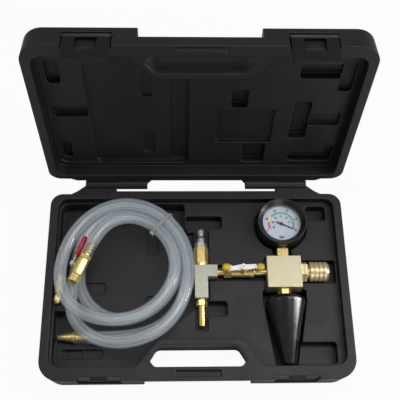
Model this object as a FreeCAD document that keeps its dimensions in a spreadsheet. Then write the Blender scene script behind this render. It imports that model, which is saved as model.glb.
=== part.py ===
import FreeCAD, Part
import math
import os
import Sketcher
from FreeCAD import Placement, Rotation, Vector

# Cooling-system vacuum and pressure tester in its blow-moulded carrying case.
# Frame: +X to the right, +Y to the hinge side, +Z up. The origin is the centre of the base's
# underside. All lengths are millimetres. The case lies open, with the tester and the hose in it.

SIZES = {
    # case
    "case_width": 369.0,
    "case_depth": 238.7,
    "base_height": 48.0,
    "lid_height": 30.0,
    "draft": 4.0,
    "front_radius": 24.0,
    "rear_radius": 15.0,
    "outer_fillet": 6.0,
    "rear_step": 4.0,
    "rear_ridge_half": 152.0,
    "rim_side": 10.0,
    "rim_rear": 10.8,
    "rim_front": 15.8,
    "inner_radius": 12.0,
    "pocket_radius": 3.0,
    "deck_drop": 12.0,
    "compartment_drop": 33.0,
    "well_floor_drop": 24.3,
    # handle
    "bar_thickness": 13.0,
    "bar_width": 15.3,
    "grip_length": 25.6,
    "grip_rear_half": 47.0,
    "grip_half": 58.0,
    "grip_radius": 9.0,
    "well_wall": 7.0,
    "well_skin": 3.4,
    "well_half": 64.0,
    "slot_half": 26.5,
    "slot_width": 7.4,
    "slot_depth": 4.0,
    "tongue_height": 3.0,
    "tongue_gap": 0.5,
    # hinges
    "hinge_back": 9.4,
    "knuckle_radius": 6.0,
    "hinge_inner": 63.0,
    "hinge_outer": 141.0,
    "hinge_gap": 0.6,
    "hinge_split": 102.5,
    "hinge_web": 24.0,
    "pin_radius": 1.8,
    "pin_clearance": 0.1,
    "pin_length": 70.0,
    "lid_open": 98.3,
    # latches
    "latch_offset": 115.0,
    "latch_width": 48.0,
    "latch_gap": 1.6,
    "latch_thickness": 2.6,
    "latch_below": 22.0,
    "latch_axis_above": 14.5,
    "latch_recess": 4.2,
    "latch_recess_below": 30.0,
    "latch_recess_above": 20.0,
    "latch_knuckle": 2.4,
    "trunnion_radius": 1.7,
    "trunnion_length": 1.2,
    "window_width": 22.0,
    "window_below": 7.4,
    "window_above": 11.5,
    "catch_width": 20.0,
    "catch_height": 5.4,
    "catch_proud": 3.6,
    "catch_gap": 0.5,
    # lid inside
    "lid_deck_depth": 16.0,
    "lid_shelf_depth": 18.5,
    "lid_floor_depth": 22.0,
    "lid_channel_depth": 25.0,
    # pockets of the base
    "seat_gap": 0.3,
    "pocket_gap": 2.5,
    "finger_width": 17.5,
    "finger_length": 47.0,
    "finger_depth": 14.0,
    # tester axes
    "stem_x": 107.0,
    "tester_y": 14.0,
    "axis_drop": 12.0,
    "tee_x": 5.0,
    # manifold block
    "block_width": 42.0,
    "block_length": 40.0,
    "block_thickness": 24.0,
    "block_offset": 2.8,
    "block_bore": 4.5,
    "port_radius": 6.6,
    "port_depth": 8.2,
    "small_port_radius": 4.9,
    "thread_length": 8.0,
    "thread_gap": 0.1,
    # gauge
    "gauge_radius": 28.0,
    "gauge_y": 75.0,
    "gauge_wall": 1.2,
    "gauge_back_drop": 22.5,
    "gauge_height": 25.5,
    "boot_radius": 31.0,
    "boot_gap": 0.1,
    "boot_back": 1.5,
    "boot_lip": 6.0,
    "boot_lip_inner": 23.8,
    "boot_mouth": 29.2,
    "dial_drop": 3.6,
    "dial_radius": 25.0,
    "dial_thickness": 0.8,
    "window_drop": 0.5,
    "window_thickness": 1.9,
    "stem_square": 14.0,
    "stem_square_length": 11.8,
    "stem_neck": 5.6,
    "needle_length": 19.0,
    "needle_tail": 6.5,
    "needle_hub": 2.1,
    "tube_radius": 20.0,
    "tube_thick": 2.6,
    "tube_high": 7.0,
    "pinion_radius": 1.6,
    "pivot_drop": 13.8,
    # rubber cone
    "cone_back_radius": 24.5,
    "cone_tip_radius": 7.0,
    "cone_length": 82.0,
    "cone_bore": 4.1,
    "nipple_hex": 14.5,
    "nipple_hex_length": 10.7,
    "nipple_tube": 4.0,
    # quick coupler
    "coupler_hex": 22.0,
    "coupler_hex_length": 7.6,
    "coupler_length": 34.4,
    "barrel_radius": 9.4,
    "coupler_mouth": 5.6,
    "mouth_depth": 18.4,
    "sleeve_radius": 12.2,
    "sleeve_length": 23.4,
    "sleeve_gap": 0.3,
    "seal_width": 2.0,
    "poppet_radius": 4.7,
    "ball_radius": 1.55,
    # venturi block and its fittings
    "tee_width": 16.0,
    "tee_length": 42.0,
    "tee_arm": 12.0,
    "tee_arm_width": 15.0,
    "tee_thickness": 16.0,
    "tee_rear": 7.5,
    "tee_bore": 3.6,
    "adaptor_hex": 16.0,
    "adaptor_length": 24.0,
    "adaptor_neck": 3.0,
    "plug_hex": 13.5,
    "plug_hex_length": 6.0,
    "plug_body": 5.3,
    "plug_nose": 4.75,
    "plug_neck": 3.7,
    "plug_length": 20.3,
    "barb_hex": 12.0,
    "barb_hex_length": 6.3,
    "barb_neck_length": 2.5,
    "barb_root": 3.4,
    "barb_ridge": 4.2,
    "barb_pitch": 4.1,
    # tester valve
    "valve_left": 8.0,
    "valve_radius": 6.2,
    "valve_hex": 12.5,
    "valve_hex_length": 9.0,
    "valve_ball_radius": 4.4,
    "valve_bore": 2.6,
    "valve_x": 56.0,
    "boss_radius": 4.2,
    "boss_height": 14.0,
    "lever_rise": 18.0,
    "lever_thickness": 1.2,
    "lever_half": 16.0,
    "lever_width": 7.0,
    "cap_length": 9.6,
    "cap_width": 8.6,
    "cap_height": 6.0,
    "nut_hex": 7.0,
    "nut_height": 3.2,
    "stem_radius": 1.9,
    "running_gap": 0.12,
    # hose
    "hose_radius": 7.6,
    "hose_bore": 4.95,
    "coil_radius": 77.0,
    "coil_band": 27.0,
    "coil_x": -83.0,
    "coil_front": -68.0,
    "coil_rear": 106.0,
    "coil_bottom": 16.8,
    "coil_height": 31.3,
    "tie_thickness": 1.2,
    "tie_width": 4.6,
    "tie_angle": 46.0,
    "nozzle_length": 16.8,
    "nozzle_radius": 5.8,
    "nozzle_tip": 2.4,
    # hose valve
    "hvalve_radius": 7.4,
    "hvalve_hex": 13.6,
    "hvalve_length": 22.0,
    "hvalve_end": 9.0,
    "hvalve_stem": 15.5,
    "hlever_offset": 9.2,
    "hlever_length": 36.0,
    "hlever_width": 9.0,
    "grip_cover": 26.0,
}


class Dim:
    """A size from the sheet: its number, and the expression that binds it."""

    def __init__(self, number, text):
        self.number = float(number)
        self.text = text

    def __add__(self, other):
        return joined(self, "+", other)

    def __radd__(self, other):
        return joined(other, "+", self)

    def __sub__(self, other):
        return joined(self, "-", other)

    def __rsub__(self, other):
        return joined(other, "-", self)

    def __mul__(self, other):
        return joined(self, "*", other)

    def __rmul__(self, other):
        return joined(other, "*", self)

    def __truediv__(self, other):
        return joined(self, "/", other)

    def __neg__(self):
        return Dim(-self.number, f"(0 - {self.text})")


def dim(value):
    if isinstance(value, Dim):
        return value
    return Dim(value, f"({float(value)!r})")


def joined(left, sign, right):
    a, b = dim(left), dim(right)
    number = {
        "+": a.number + b.number,
        "-": a.number - b.number,
        "*": a.number * b.number,
        "/": a.number / b.number if b.number else 0.0,
    }[sign]
    return Dim(number, f"({a.text} {sign} {b.text})")


doc = FreeCAD.newDocument("RadiatorTester")
sheet = doc.addObject("Spreadsheet::Sheet", "Sizes")
for row, (name, value) in enumerate(SIZES.items(), start=1):
    sheet.set(f"A{row}", name)
    sheet.set(f"B{row}", str(value))
    sheet.setAlias(f"B{row}", name)
doc.recompute()


class Sheet:
    """The sheet's cells, each one a Dim under its alias."""


S = Sheet()
for name in SIZES:
    setattr(S, name, Dim(sheet.get(name), f"Sizes.{name}"))

# ---------------------------------------------------------------- helpers

ALONG = {
    "+Z": Rotation(),
    "+X": Rotation(Vector(0, 1, 0), 90),
    "-X": Rotation(Vector(0, 1, 0), -90),
    "+Y": Rotation(Vector(1, 0, 0), -90),
    "-Y": Rotation(Vector(1, 0, 0), 90),
}
HEX_SHARE = 1 / math.sqrt(3)


def bind(thing, prop, value):
    """Sets a property and ties it to the sheet."""
    value = dim(value)
    thing.setExpression(prop, value.text)


def put(thing, at, turn=Rotation()):
    """Places a sub-part, with its position tied to the sheet."""
    at = [dim(value) for value in at]
    thing.Placement = Placement(Vector(*[value.number for value in at]), turn)
    for axis, value in zip("xyz", at):
        thing.setExpression(f"Placement.Base.{axis}", value.text)


def new_body(label, at=(0, 0, 0), turn=Rotation()):
    body = doc.addObject("PartDesign::Body", label)
    body.Label = label
    put(body, at, turn)
    return body


def circle(x, y, radius):
    return ("circle", dim(x), dim(y), dim(radius))


def box_loop(x0, x1, y0, y1, radius=None):
    """A rectangle, with rounded corners if a radius is given."""
    corners = [(x0, y0), (x1, y0), (x1, y1), (x0, y1)]
    if radius is None:
        return corners
    return [(x, y, radius) for x, y in corners]


def hexagon(across, flats_up=False):
    """A regular hexagon by its size across flats."""
    half, tip, side = across / 2, across * HEX_SHARE, across * (HEX_SHARE / 2)
    points = [(half, side), (0, tip), (-half, side), (-half, -side), (0, -tip), (half, -side)]
    if flats_up:
        points = [(y, x) for x, y in points]
    return points


def draw_circle(sk, loop):
    x, y, radius = loop[1:]
    index = sk.addGeometry(
        Part.Circle(Vector(x.number, y.number, 0), Vector(0, 0, 1), radius.number)
    )
    rules = [
        (Sketcher.Constraint("DistanceX", -1, 1, index, 3, x.number), x),
        (Sketcher.Constraint("DistanceY", -1, 1, index, 3, y.number), y),
        (Sketcher.Constraint("Radius", index, radius.number), radius),
    ]
    constrain(sk, rules)


def constrain(sk, rules):
    """Adds the constraints in one go, and ties those with a size to the sheet."""
    first = sk.ConstraintCount
    sk.addConstraint([rule for rule, _ in rules])
    for index, (_, size) in enumerate(rules, start=first):
        if size is not None:
            sk.setExpression(f"Constraints[{index}]", size.text)


def draw_loop(sk, loop):
    """A closed outline of straight sides; a corner with a third value is rounded."""
    count = len(loop)
    spots = [(dim(corner[0]), dim(corner[1])) for corner in loop]
    points = [Vector(x.number, y.number, 0) for x, y in spots]
    radii = [dim(corner[2]) if len(corner) > 2 else None for corner in loop]
    ends = []
    for i in range(count):
        back = (points[i - 1] - points[i]).normalize()
        ahead = (points[(i + 1) % count] - points[i]).normalize()
        reach = 0
        if radii[i] is not None:
            reach = radii[i].number / math.tan(back.getAngle(ahead) / 2)
        ends.append((points[i] + back * reach, points[i] + ahead * reach, back, ahead))
    first = sk.GeometryCount
    for i in range(count):
        sk.addGeometry(Part.LineSegment(ends[i][1], ends[(i + 1) % count][0]))
    rules = []
    for i in range(count):
        before, after = first + (i - 1) % count, first + i
        if radii[i] is None:
            rules.append((Sketcher.Constraint("Coincident", before, 2, after, 1), None))
            target, spot = after, 1
        else:
            arc, start = draw_corner(sk, points[i], ends[i], radii[i].number)
            other = 3 - start
            target, spot = sk.addGeometry(Part.Point(points[i]), True), 1
            rules.append((Sketcher.Constraint("Tangent", before, 2, arc, start), None))
            rules.append((Sketcher.Constraint("Tangent", after, 1, arc, other), None))
            rules.append((Sketcher.Constraint("PointOnObject", target, 1, before), None))
            rules.append((Sketcher.Constraint("PointOnObject", target, 1, after), None))
            rules.append((Sketcher.Constraint("Radius", arc, radii[i].number), radii[i]))
        x, y = spots[i]
        rules.append((Sketcher.Constraint("DistanceX", -1, 1, target, spot, x.number), x))
        rules.append((Sketcher.Constraint("DistanceY", -1, 1, target, spot, y.number), y))
    constrain(sk, rules)


def draw_corner(sk, corner, end, radius):
    """The arc of a rounded corner; returns it and which of its ends the outline meets first."""
    came, goes, back, ahead = end
    middle = (back + ahead).normalize()
    centre = corner + middle * (radius / math.sin(back.getAngle(ahead) / 2))
    left_turn = (back * -1).cross(ahead).z > 0
    start, stop = (came, goes) if left_turn else (goes, came)
    first = math.atan2(start.y - centre.y, start.x - centre.x)
    last = math.atan2(stop.y - centre.y, stop.x - centre.x)
    round_edge = Part.Circle(centre, Vector(0, 0, 1), radius)
    arc = sk.addGeometry(Part.ArcOfCircle(round_edge, first, last))
    return arc, 1 if left_turn else 2


def sketch(body, plane, height, *loops):
    """A sketch on one of the body's origin planes, at a height along the frame's axis."""
    sk = body.newObject("Sketcher::SketchObject", f"{body.Label}_sketch")
    support = [part for part in body.Origin.OriginFeatures if part.Role == f"{plane}_Plane"]
    sk.AttachmentSupport = [(support[0], "")]
    sk.MapMode = "FlatFace"
    height = -dim(height) if plane == "XZ" else dim(height)
    sk.AttachmentOffset = Placement(Vector(0, 0, height.number), Rotation())
    sk.setExpression("AttachmentOffset.Base.z", height.text)
    for loop in loops:
        if loop[0] == "circle":
            draw_circle(sk, loop)
        else:
            draw_loop(sk, loop)
    return sk


def pad(body, sk, length, taper=None, backward=False):
    feature = body.newObject("PartDesign::Pad", f"{body.Label}_pad")
    return sweep_out(feature, sk, length, taper, backward)


def pocket(body, sk, length, taper=None, forward=False):
    """Cuts against the sketch's normal, or along it if forward."""
    feature = body.newObject("PartDesign::Pocket", f"{body.Label}_pocket")
    return sweep_out(feature, sk, length, taper, forward)


def sweep_out(feature, sk, length, taper, reverse):
    feature.Profile = sk
    bind(feature, "Length", length)
    feature.Reversed = reverse
    if taper is not None:
        bind(feature, "TaperAngle", taper)
    sk.Visibility = False
    return feature


def revolve(body, points):
    """Turns a closed profile of (radius, height) points about the body's own Z axis."""
    sk = sketch(body, "XZ", 0, points)
    feature = body.newObject("PartDesign::Revolution", f"{body.Label}_turn")
    feature.Profile = sk
    feature.ReferenceAxis = (sk, ["V_Axis"])
    feature.Angle = 360
    return feature


def turned(label, at, along, points):
    """A lathe part whose axis runs along a frame axis, from its own height 0."""
    body = new_body(label, at, ALONG[along])
    revolve(body, points)
    return body


def level_edges(shape, height):
    """The edges that lie in one level plane."""
    names = []
    for index, edge in enumerate(shape.Edges, start=1):
        box = edge.BoundBox
        if abs(box.ZMin - height) < 1e-4 and abs(box.ZMax - height) < 1e-4:
            names.append(f"Edge{index}")
    return names


def fillet(body, base, names, radius):
    feature = body.newObject("PartDesign::Fillet", f"{body.Label}_fillet")
    feature.Base = (base, names)
    bind(feature, "Radius", radius)
    return feature


def barbs(root, ridge, pitch, count, start):
    """Saw-tooth points of a hose tail that points up its own axis."""
    points = []
    for index in range(count):
        low = start + pitch * index
        points += [(ridge, low), (root, low + pitch)]
    return points


# ---------------------------------------------------------------- shared places

half_width = S.case_width / 2
half_depth = S.case_depth / 2
rim = S.base_height
axis_z = rim - S.axis_drop
in_x = half_width - S.rim_side
in_rear = half_depth - S.rim_rear
in_front = -half_depth + S.rim_front
grip_front = -half_depth + S.bar_width
grip_rear = grip_front + S.grip_length
ridge_y = grip_rear + S.well_wall
hinge_y = half_depth + S.hinge_back
lid_turn = Rotation(Vector(1, 0, 0), -S.lid_open.number)
lid_cos = math.cos(math.radians(S.lid_open.number))
lid_sin = -math.sin(math.radians(S.lid_open.number))
block_y = S.tester_y - S.block_offset
block_left = S.stem_x - S.block_width / 2
block_right = S.stem_x + S.block_width / 2
block_front = block_y - S.block_length / 2
block_rear = block_y + S.block_length / 2
tee_right = S.tee_x + S.tee_width / 2
tee_left = S.tee_x - S.tee_width / 2
tee_rear = S.tester_y + S.tee_rear
tee_front = tee_rear - S.tee_length
arm_end = tee_right + S.tee_arm
strand_z = S.coil_bottom + S.coil_height + S.hose_radius + 0.3
HOSE_END = Vector(-135.7, 30, strand_z.number)
HOSE_AHEAD = Vector(-9.7, -24, 0)


# ---------------------------------------------------------------- case

def on_lid(x, y, z):
    """Where a point of the closed case goes when the lid stands open."""
    back, up = y - hinge_y, z - rim
    return (x, hinge_y + back * lid_cos - up * lid_sin, rim + back * lid_sin + up * lid_cos)


def case_outline():
    rear = half_depth - S.rear_step
    ridge = S.rear_ridge_half
    return [
        (-half_width, -half_depth, S.front_radius),
        (half_width, -half_depth, S.front_radius),
        (half_width, rear, S.rear_radius),
        (ridge + 7, rear),
        (ridge, half_depth),
        (-ridge, half_depth),
        (-ridge - 7, rear),
        (-half_width, rear, S.rear_radius),
    ]


def inside_outline():
    """The opening inside the rim; its front steps back round the handle well."""
    return [
        (-in_x, in_front, 14),
        (-S.well_half - 8, in_front, 5),
        (-S.grip_rear_half + 1, ridge_y, 14),
        (S.grip_rear_half + 7, ridge_y, 16),
        (S.well_half + 12, in_front, 8),
        (in_x, in_front, 14),
        (in_x, in_rear, S.inner_radius),
        (-in_x, in_rear, S.inner_radius),
    ]


def grip_hole():
    waist = (grip_front + grip_rear) / 2 - 4
    return [
        (-S.grip_rear_half - 4, grip_front, 6),
        (S.grip_rear_half + 4, grip_front, 6),
        (S.grip_half, waist, 6),
        (S.grip_rear_half, grip_rear, S.grip_radius),
        (-S.grip_rear_half, grip_rear, S.grip_radius),
        (-S.grip_half, waist, 6),
    ]


def well_cut():
    rear = ridge_y - S.well_skin
    waist = grip_front + 6
    front = -half_depth - 5
    return [
        (-S.well_half, front),
        (S.well_half, front),
        (S.well_half, waist),
        (S.grip_rear_half + 3, rear, 8),
        (-S.grip_rear_half - 3, rear, 8),
        (-S.well_half, waist),
    ]


def latch_recesses():
    half = S.latch_width / 2 + S.latch_gap
    loops = []
    for side in (-1, 1):
        middle = S.latch_offset * side
        loops.append(box_loop(middle - half, middle + half, -half_depth - 3, -half_depth + S.latch_recess))
    return loops


def hinge_block(body, inner, outer, sign):
    """One knuckle with its web, as a profile across the hinge, extruded along X."""
    top, low = rim + S.knuckle_radius * sign, rim - S.knuckle_radius * sign
    near, far = hinge_y - S.knuckle_radius, hinge_y + S.knuckle_radius
    wall = half_depth - 6.5
    profile = [
        (wall, rim - S.hinge_web * sign),
        (far, low),
        (far, top, S.knuckle_radius - 0.05),
        (near, top, S.knuckle_radius - 0.05),
        (near, rim),
        (wall, rim),
    ]
    if sign < 0:
        profile.reverse()
    pad(body, sketch(body, "YZ", inner, profile), outer - inner)


def hinge_wing(body, inner, outer, height, depth, backward):
    """The slanted flank that joins a knuckle to the wall beside it."""
    wall = half_depth - 4.8
    corners = [(inner, wall), (outer, wall), (inner, hinge_y - 1)]
    if outer.number < inner.number:
        corners.reverse()
    pad(body, sketch(body, "XY", height, corners), depth, backward=backward)


def pin_holes(body):
    radius = S.pin_radius + S.pin_clearance
    sk = sketch(body, "YZ", -half_width, circle(hinge_y, rim, radius))
    pocket(body, sk, S.case_width, forward=True)


def make_base():
    body = new_body("case_base")
    shell = pad(body, sketch(body, "XY", rim, case_outline()), rim, -S.draft, backward=True)
    doc.recompute()
    fillet(body, shell, level_edges(shell.Shape, 0), S.outer_fillet)
    split, gap = S.hinge_split, S.hinge_gap / 2
    for side in (-1, 1):
        ends = sorted((split * side + gap * side, S.hinge_outer * side), key=lambda end: end.number)
        hinge_block(body, ends[0], ends[1], 1)
        hinge_wing(body, S.hinge_outer * side, (S.hinge_outer + 17) * side, rim, S.deck_drop, True)
    pin_holes(body)
    # handle: the case is only as thick as the bar round the hole
    pocket(body, sketch(body, "XY", 0, well_cut()), rim - S.bar_thickness, forward=True)
    pocket(body, sketch(body, "XY", rim, grip_hole()), rim)
    slot_front = -half_depth + (S.bar_width - S.slot_width) / 2
    slot = box_loop(-S.slot_half, S.slot_half, slot_front, slot_front + S.slot_width)
    pocket(body, sketch(body, "XY", rim, slot), S.slot_depth)
    # latch recesses with a catch in each
    pocket(body, sketch(body, "XY", rim, *latch_recesses()), S.latch_recess_below)
    face = -half_depth + S.latch_recess
    low = rim - S.window_below + S.catch_gap
    hook = [
        (face + 1, low),
        (face + 1, low + S.catch_height),
        (face, low + S.catch_height),
        (face - S.catch_proud, low + 2),
        (face - S.catch_proud, low),
    ]
    for side in (-1, 1):
        start = S.latch_offset * side - S.catch_width / 2
        pad(body, sketch(body, "YZ", start, hook), S.catch_width)
    # the opening, then the pockets below it
    pocket(body, sketch(body, "XY", rim, inside_outline()), S.deck_drop)
    deck = rim - S.deck_drop
    left = -in_x + 2
    tee_wall = tee_left - 0.6
    compartment = [
        (left, in_front + 2, 13),
        (-S.well_half - 6, in_front + 2, 5),
        (-S.grip_rear_half - 1, ridge_y + 2, 8),
        (-S.grip_rear_half + 9, ridge_y + 13.5, 8),
        (tee_wall, tee_front - 13.5, 8),
        (tee_wall, in_rear - 36.5),
        (tee_wall - 11.4, in_rear - 36.5),
        (tee_wall - 11.4, in_rear - 2, 5),
        (left, in_rear - 2, 11),
        (left, 30),
        (S.coil_x - S.coil_radius - 0.6, 30),
        (S.coil_x - S.coil_radius - 0.6, -34),
        (left, -34),
    ]
    drop = S.compartment_drop - S.deck_drop
    pocket(body, sketch(body, "XY", deck, compartment), drop)
    tester_pockets(body, deck)
    floor = rim - S.compartment_drop
    marks = [
        box_loop(-63.6, -48, 44, 92, 7),
        box_loop(-143.7, -113.5, -7.7, 7.9, 7),
        box_loop(-65, -49, -50, -9.8, 7),
        box_loop(-165.5, -113.5, -87.8, -76.4, 5),
    ]
    pocket(body, sketch(body, "XY", floor, *marks), 3)
    pocket(body, sketch(body, "XY", floor, box_loop(-160, -139, -87.2, -77, 4)), 5)
    return body


def tester_pockets(body, deck):
    """The recesses that hold the tester, each a small gap round the piece it takes."""
    gap, round_in = S.pocket_gap, S.pocket_radius
    half_tee = S.tee_thickness / 2 + S.seat_gap
    low = axis_z - half_tee
    tee = [
        (tee_left - 0.6, tee_front - gap, round_in),
        (tee_right + gap, tee_front - gap, round_in),
        (tee_right + gap, S.tester_y - 11, round_in),
        (block_left - 1, S.tester_y - 11),
        (block_left - 1, S.tester_y + 9.6),
        (tee_right + gap, S.tester_y + 9.6, round_in),
        (tee_right + gap, tee_rear + 54.5, round_in),
        (tee_left - 0.6, tee_rear + 54.5, round_in),
    ]
    pocket(body, sketch(body, "XY", deck, tee), deck - low)
    tail = box_loop(S.tee_x - 8, S.tee_x + 8, tee_front - 39.5, tee_front + 2, round_in)
    pocket(body, sketch(body, "XY", deck, tail), deck - low)
    block = [
        (block_left - gap, block_front - gap, round_in),
        (block_right + gap, block_front - gap, round_in),
        (block_right + gap, block_rear + gap, round_in),
        (S.stem_x + 12, block_rear + gap),
        (S.stem_x + 12, S.gauge_y - 20),
        (S.stem_x - 12, S.gauge_y - 20),
        (S.stem_x - 12, block_rear + gap),
        (block_left - gap, block_rear + gap, round_in),
    ]
    seat = axis_z - S.block_thickness / 2 - S.seat_gap
    pocket(body, sketch(body, "XY", deck, block), deck - seat)
    back = axis_z - S.gauge_back_drop / 2 - S.boot_back - S.seat_gap
    dish = circle(S.stem_x, S.gauge_y, S.boot_radius + gap)
    pocket(body, sketch(body, "XY", deck, dish), deck - back)
    mouth = block_right + S.coupler_hex_length + S.coupler_length
    coupler = box_loop(block_right, mouth + 2, S.tester_y - 14.5, S.tester_y + 15, round_in)
    depth = deck - (axis_z - S.sleeve_radius - S.seat_gap)
    pocket(body, sketch(body, "XY", deck, coupler), depth)
    cone_end = block_front - S.nipple_hex_length - S.cone_length
    cone = [
        (S.stem_x - S.cone_back_radius - gap, block_front, round_in),
        (S.stem_x - S.cone_back_radius - gap, block_front - 14, round_in),
        (S.stem_x - 15, cone_end - S.pocket_gap, round_in),
        (S.stem_x + 12, cone_end - S.pocket_gap, round_in),
        (S.stem_x + S.cone_back_radius + gap, block_front - 14, round_in),
        (S.stem_x + S.cone_back_radius + gap, block_front, round_in),
    ]
    depth = deck - (axis_z - S.cone_back_radius - S.seat_gap)
    pocket(body, sketch(body, "XY", deck, cone), depth)
    # finger recesses beside the pieces
    width, length = S.finger_width, S.finger_length
    rear = tee_rear + 50.3
    fingers = [
        box_loop(tee_left - 11.7, tee_left - 11.7 + length, rear, rear + width, 4),
        box_loop(S.tee_x + 6.5, S.tee_x + 31.6, tee_front - 21.6, tee_front - 2.2, 4),
        box_loop(S.stem_x + 33.4, in_x - 9, S.gauge_y + 7.6, S.gauge_y + 27.8, 4),
        box_loop(S.stem_x + 10, in_x - 9, in_front + 4, in_front + 30, 4),
    ]
    for loop in fingers:
        pocket(body, sketch(body, "XY", deck, loop), S.finger_depth)


def make_lid():
    body = new_body("case_lid", on_lid(0, dim(0), dim(0)), lid_turn)
    top = rim + S.lid_height
    shell = pad(body, sketch(body, "XY", rim, case_outline()), S.lid_height, -S.draft)
    doc.recompute()
    fillet(body, shell, level_edges(shell.Shape, top.number), S.outer_fillet)
    split, gap = S.hinge_split, S.hinge_gap / 2
    for side in (-1, 1):
        ends = sorted((S.hinge_inner * side, split * side - gap * side), key=lambda end: end.number)
        hinge_block(body, ends[0], ends[1], -1)
        hinge_wing(body, S.hinge_inner * side, (S.hinge_inner - 9) * side, rim, S.deck_drop, False)
    pin_holes(body)
    bar_top = rim + S.bar_thickness
    pocket(body, sketch(body, "XY", bar_top, well_cut()), S.lid_height, forward=True)
    pocket(body, sketch(body, "XY", rim, grip_hole()), S.lid_height, forward=True)
    pocket(body, sketch(body, "XY", rim, *latch_recesses()), S.latch_recess_above, forward=True)
    pivot = rim + S.latch_axis_above
    for side in (-1, 1):
        half = S.latch_width / 2 + S.latch_gap + S.trunnion_length
        start = S.latch_offset * side - half
        spot = circle(-half_depth + S.latch_thickness / 2, pivot, S.trunnion_radius + S.pin_clearance)
        pocket(body, sketch(body, "YZ", start, spot), half * 2, forward=True)
    slot_front = -half_depth + (S.bar_width - S.slot_width) / 2
    edge = S.tongue_gap
    tongue = box_loop(
        -S.slot_half + edge, S.slot_half - edge, slot_front + edge, slot_front + S.slot_width - edge
    )
    pad(body, sketch(body, "XY", rim, tongue), S.tongue_height, backward=True)
    pocket(body, sketch(body, "XY", rim, inside_outline()), S.lid_deck_depth, forward=True)
    deck = rim + S.lid_deck_depth
    shelf = box_loop(-in_x + 4, -60, in_front + 6, in_rear - 6, 10)
    pocket(body, sketch(body, "XY", deck, shelf), S.lid_shelf_depth - S.lid_deck_depth, forward=True)
    floor = [
        (-126, in_front + 6, 8),
        (-76, in_front + 6, 8),
        (-51, ridge_y + 6, 10),
        (-10, ridge_y + 6, 8),
        (-10, in_rear - 6, 8),
        (-126, in_rear - 6, 8),
    ]
    depth = S.lid_floor_depth - S.lid_deck_depth
    pocket(body, sketch(body, "XY", deck, floor), depth, forward=True)
    channel = [
        box_loop(-32.5, -10.5, -43, 101, 3),
        box_loop(-165, -154, 62, 93, 4),
        box_loop(-167, -127, -4.4, 14.6, 4),
        box_loop(-166, -151, -78, -43, 4),
        box_loop(-66, -52, 45, 88, 5),
        box_loop(-66, -52, -55, -17, 5),
        box_loop(37, 56, -36, -4.4, 4),
        box_loop(55, 84, 61, 101, 6),
        box_loop(114, 169, 81, 98, 4),
        box_loop(109, 130, -16, 52, 4),
        box_loop(109, 155, -78, -54, 4),
    ]
    sk = sketch(body, "XY", deck, *channel)
    pocket(body, sk, S.lid_channel_depth - S.lid_deck_depth, forward=True)
    arms = [
        box_loop(129, 166, 4, 27, 4),
        box_loop(154, 169, -80, -34, 4),
        box_loop(157, 169, 66, 82, 4),
        box_loop(22, 89, -3, 60, 4),
    ]
    pocket(body, sketch(body, "XY", deck, *arms), 5, forward=True)
    return body


def make_hinge_pins():
    """Two steel pins, one through each pair of knuckles."""
    body = new_body("hinge_pins", (0, hinge_y, rim), ALONG["+X"])
    middle = (S.hinge_inner + S.hinge_outer) / 2
    for side in (-1, 1):
        start = middle * side - S.pin_length / 2
        pad(body, sketch(body, "XY", start, circle(0, 0, S.pin_radius)), S.pin_length)
    return body


def make_latch(label, side):
    """A moulded plate with a window for the catch, trunnions at the top and a finger lip."""
    pivot_y = -half_depth + S.latch_thickness / 2
    at = on_lid(S.latch_offset * side, pivot_y, rim + S.latch_axis_above)
    body = new_body(label, at, lid_turn)
    half, thick = S.latch_width / 2, S.latch_thickness / 2
    reach = S.latch_axis_above + S.latch_below
    profile = [
        (-thick, -reach),
        (thick, -reach),
        (thick, -S.latch_knuckle, 1),
        (S.latch_knuckle, 0),
        (S.latch_knuckle - 0.7, S.latch_knuckle - 0.7),
        (0, S.latch_knuckle),
        (-S.latch_knuckle + 0.7, S.latch_knuckle - 0.7),
        (-S.latch_knuckle, 0),
        (-thick, -S.latch_knuckle, 1),
    ]
    pad(body, sketch(body, "YZ", -half, profile), S.latch_width)
    lip = [(thick, -reach), (thick - 0.5, -reach), (thick - 0.5, -reach + 4), (thick, -reach + 4)]
    lip = [(-thick - 0.9, -reach), (-thick + 0.5, -reach), (-thick + 0.5, -reach + 4), (-thick, -reach + 4)]
    pad(body, sketch(body, "YZ", -half + 1, lip), S.latch_width - 2)
    top = S.window_above - S.latch_axis_above
    low = -S.latch_axis_above - S.window_below
    half_window = S.window_width / 2
    hole = box_loop(-half_window, half_window, low, top, 1.5)
    pocket(body, sketch(body, "XZ", -6, hole), 12)
    span = half + S.latch_gap + S.trunnion_length - 0.3
    for start, length in ((-span, span - half + 1), (half - 1, span - half + 1)):
        pad(body, sketch(body, "YZ", start, circle(0, 0, S.trunnion_radius)), length)
    return body


# ---------------------------------------------------------------- manifold and gauge

def make_block():
    body = new_body("manifold_block", (S.stem_x, block_y, axis_z))
    half_x, half_y, half_z = S.block_width / 2, S.block_length / 2, S.block_thickness / 2
    outline = box_loop(-half_x, half_x, -half_y, half_y)
    pad(body, sketch(body, "XY", -half_z, outline), S.block_thickness)
    pocket(body, sketch(body, "XZ", -half_y, circle(0, 0, S.block_bore)), S.block_length)
    for start in (-half_y, half_y - S.port_depth):
        pocket(body, sketch(body, "XZ", start, circle(0, 0, S.port_radius)), S.port_depth)
    side = S.block_offset
    pocket(body, sketch(body, "YZ", half_x, circle(side, 0, S.valve_bore)), S.block_width)
    pocket(body, sketch(body, "YZ", half_x, circle(side, 0, S.port_radius)), S.port_depth)
    start = -half_x + S.port_depth
    pocket(body, sketch(body, "YZ", start, circle(side, 0, S.small_port_radius)), S.port_depth)
    return body


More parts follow.
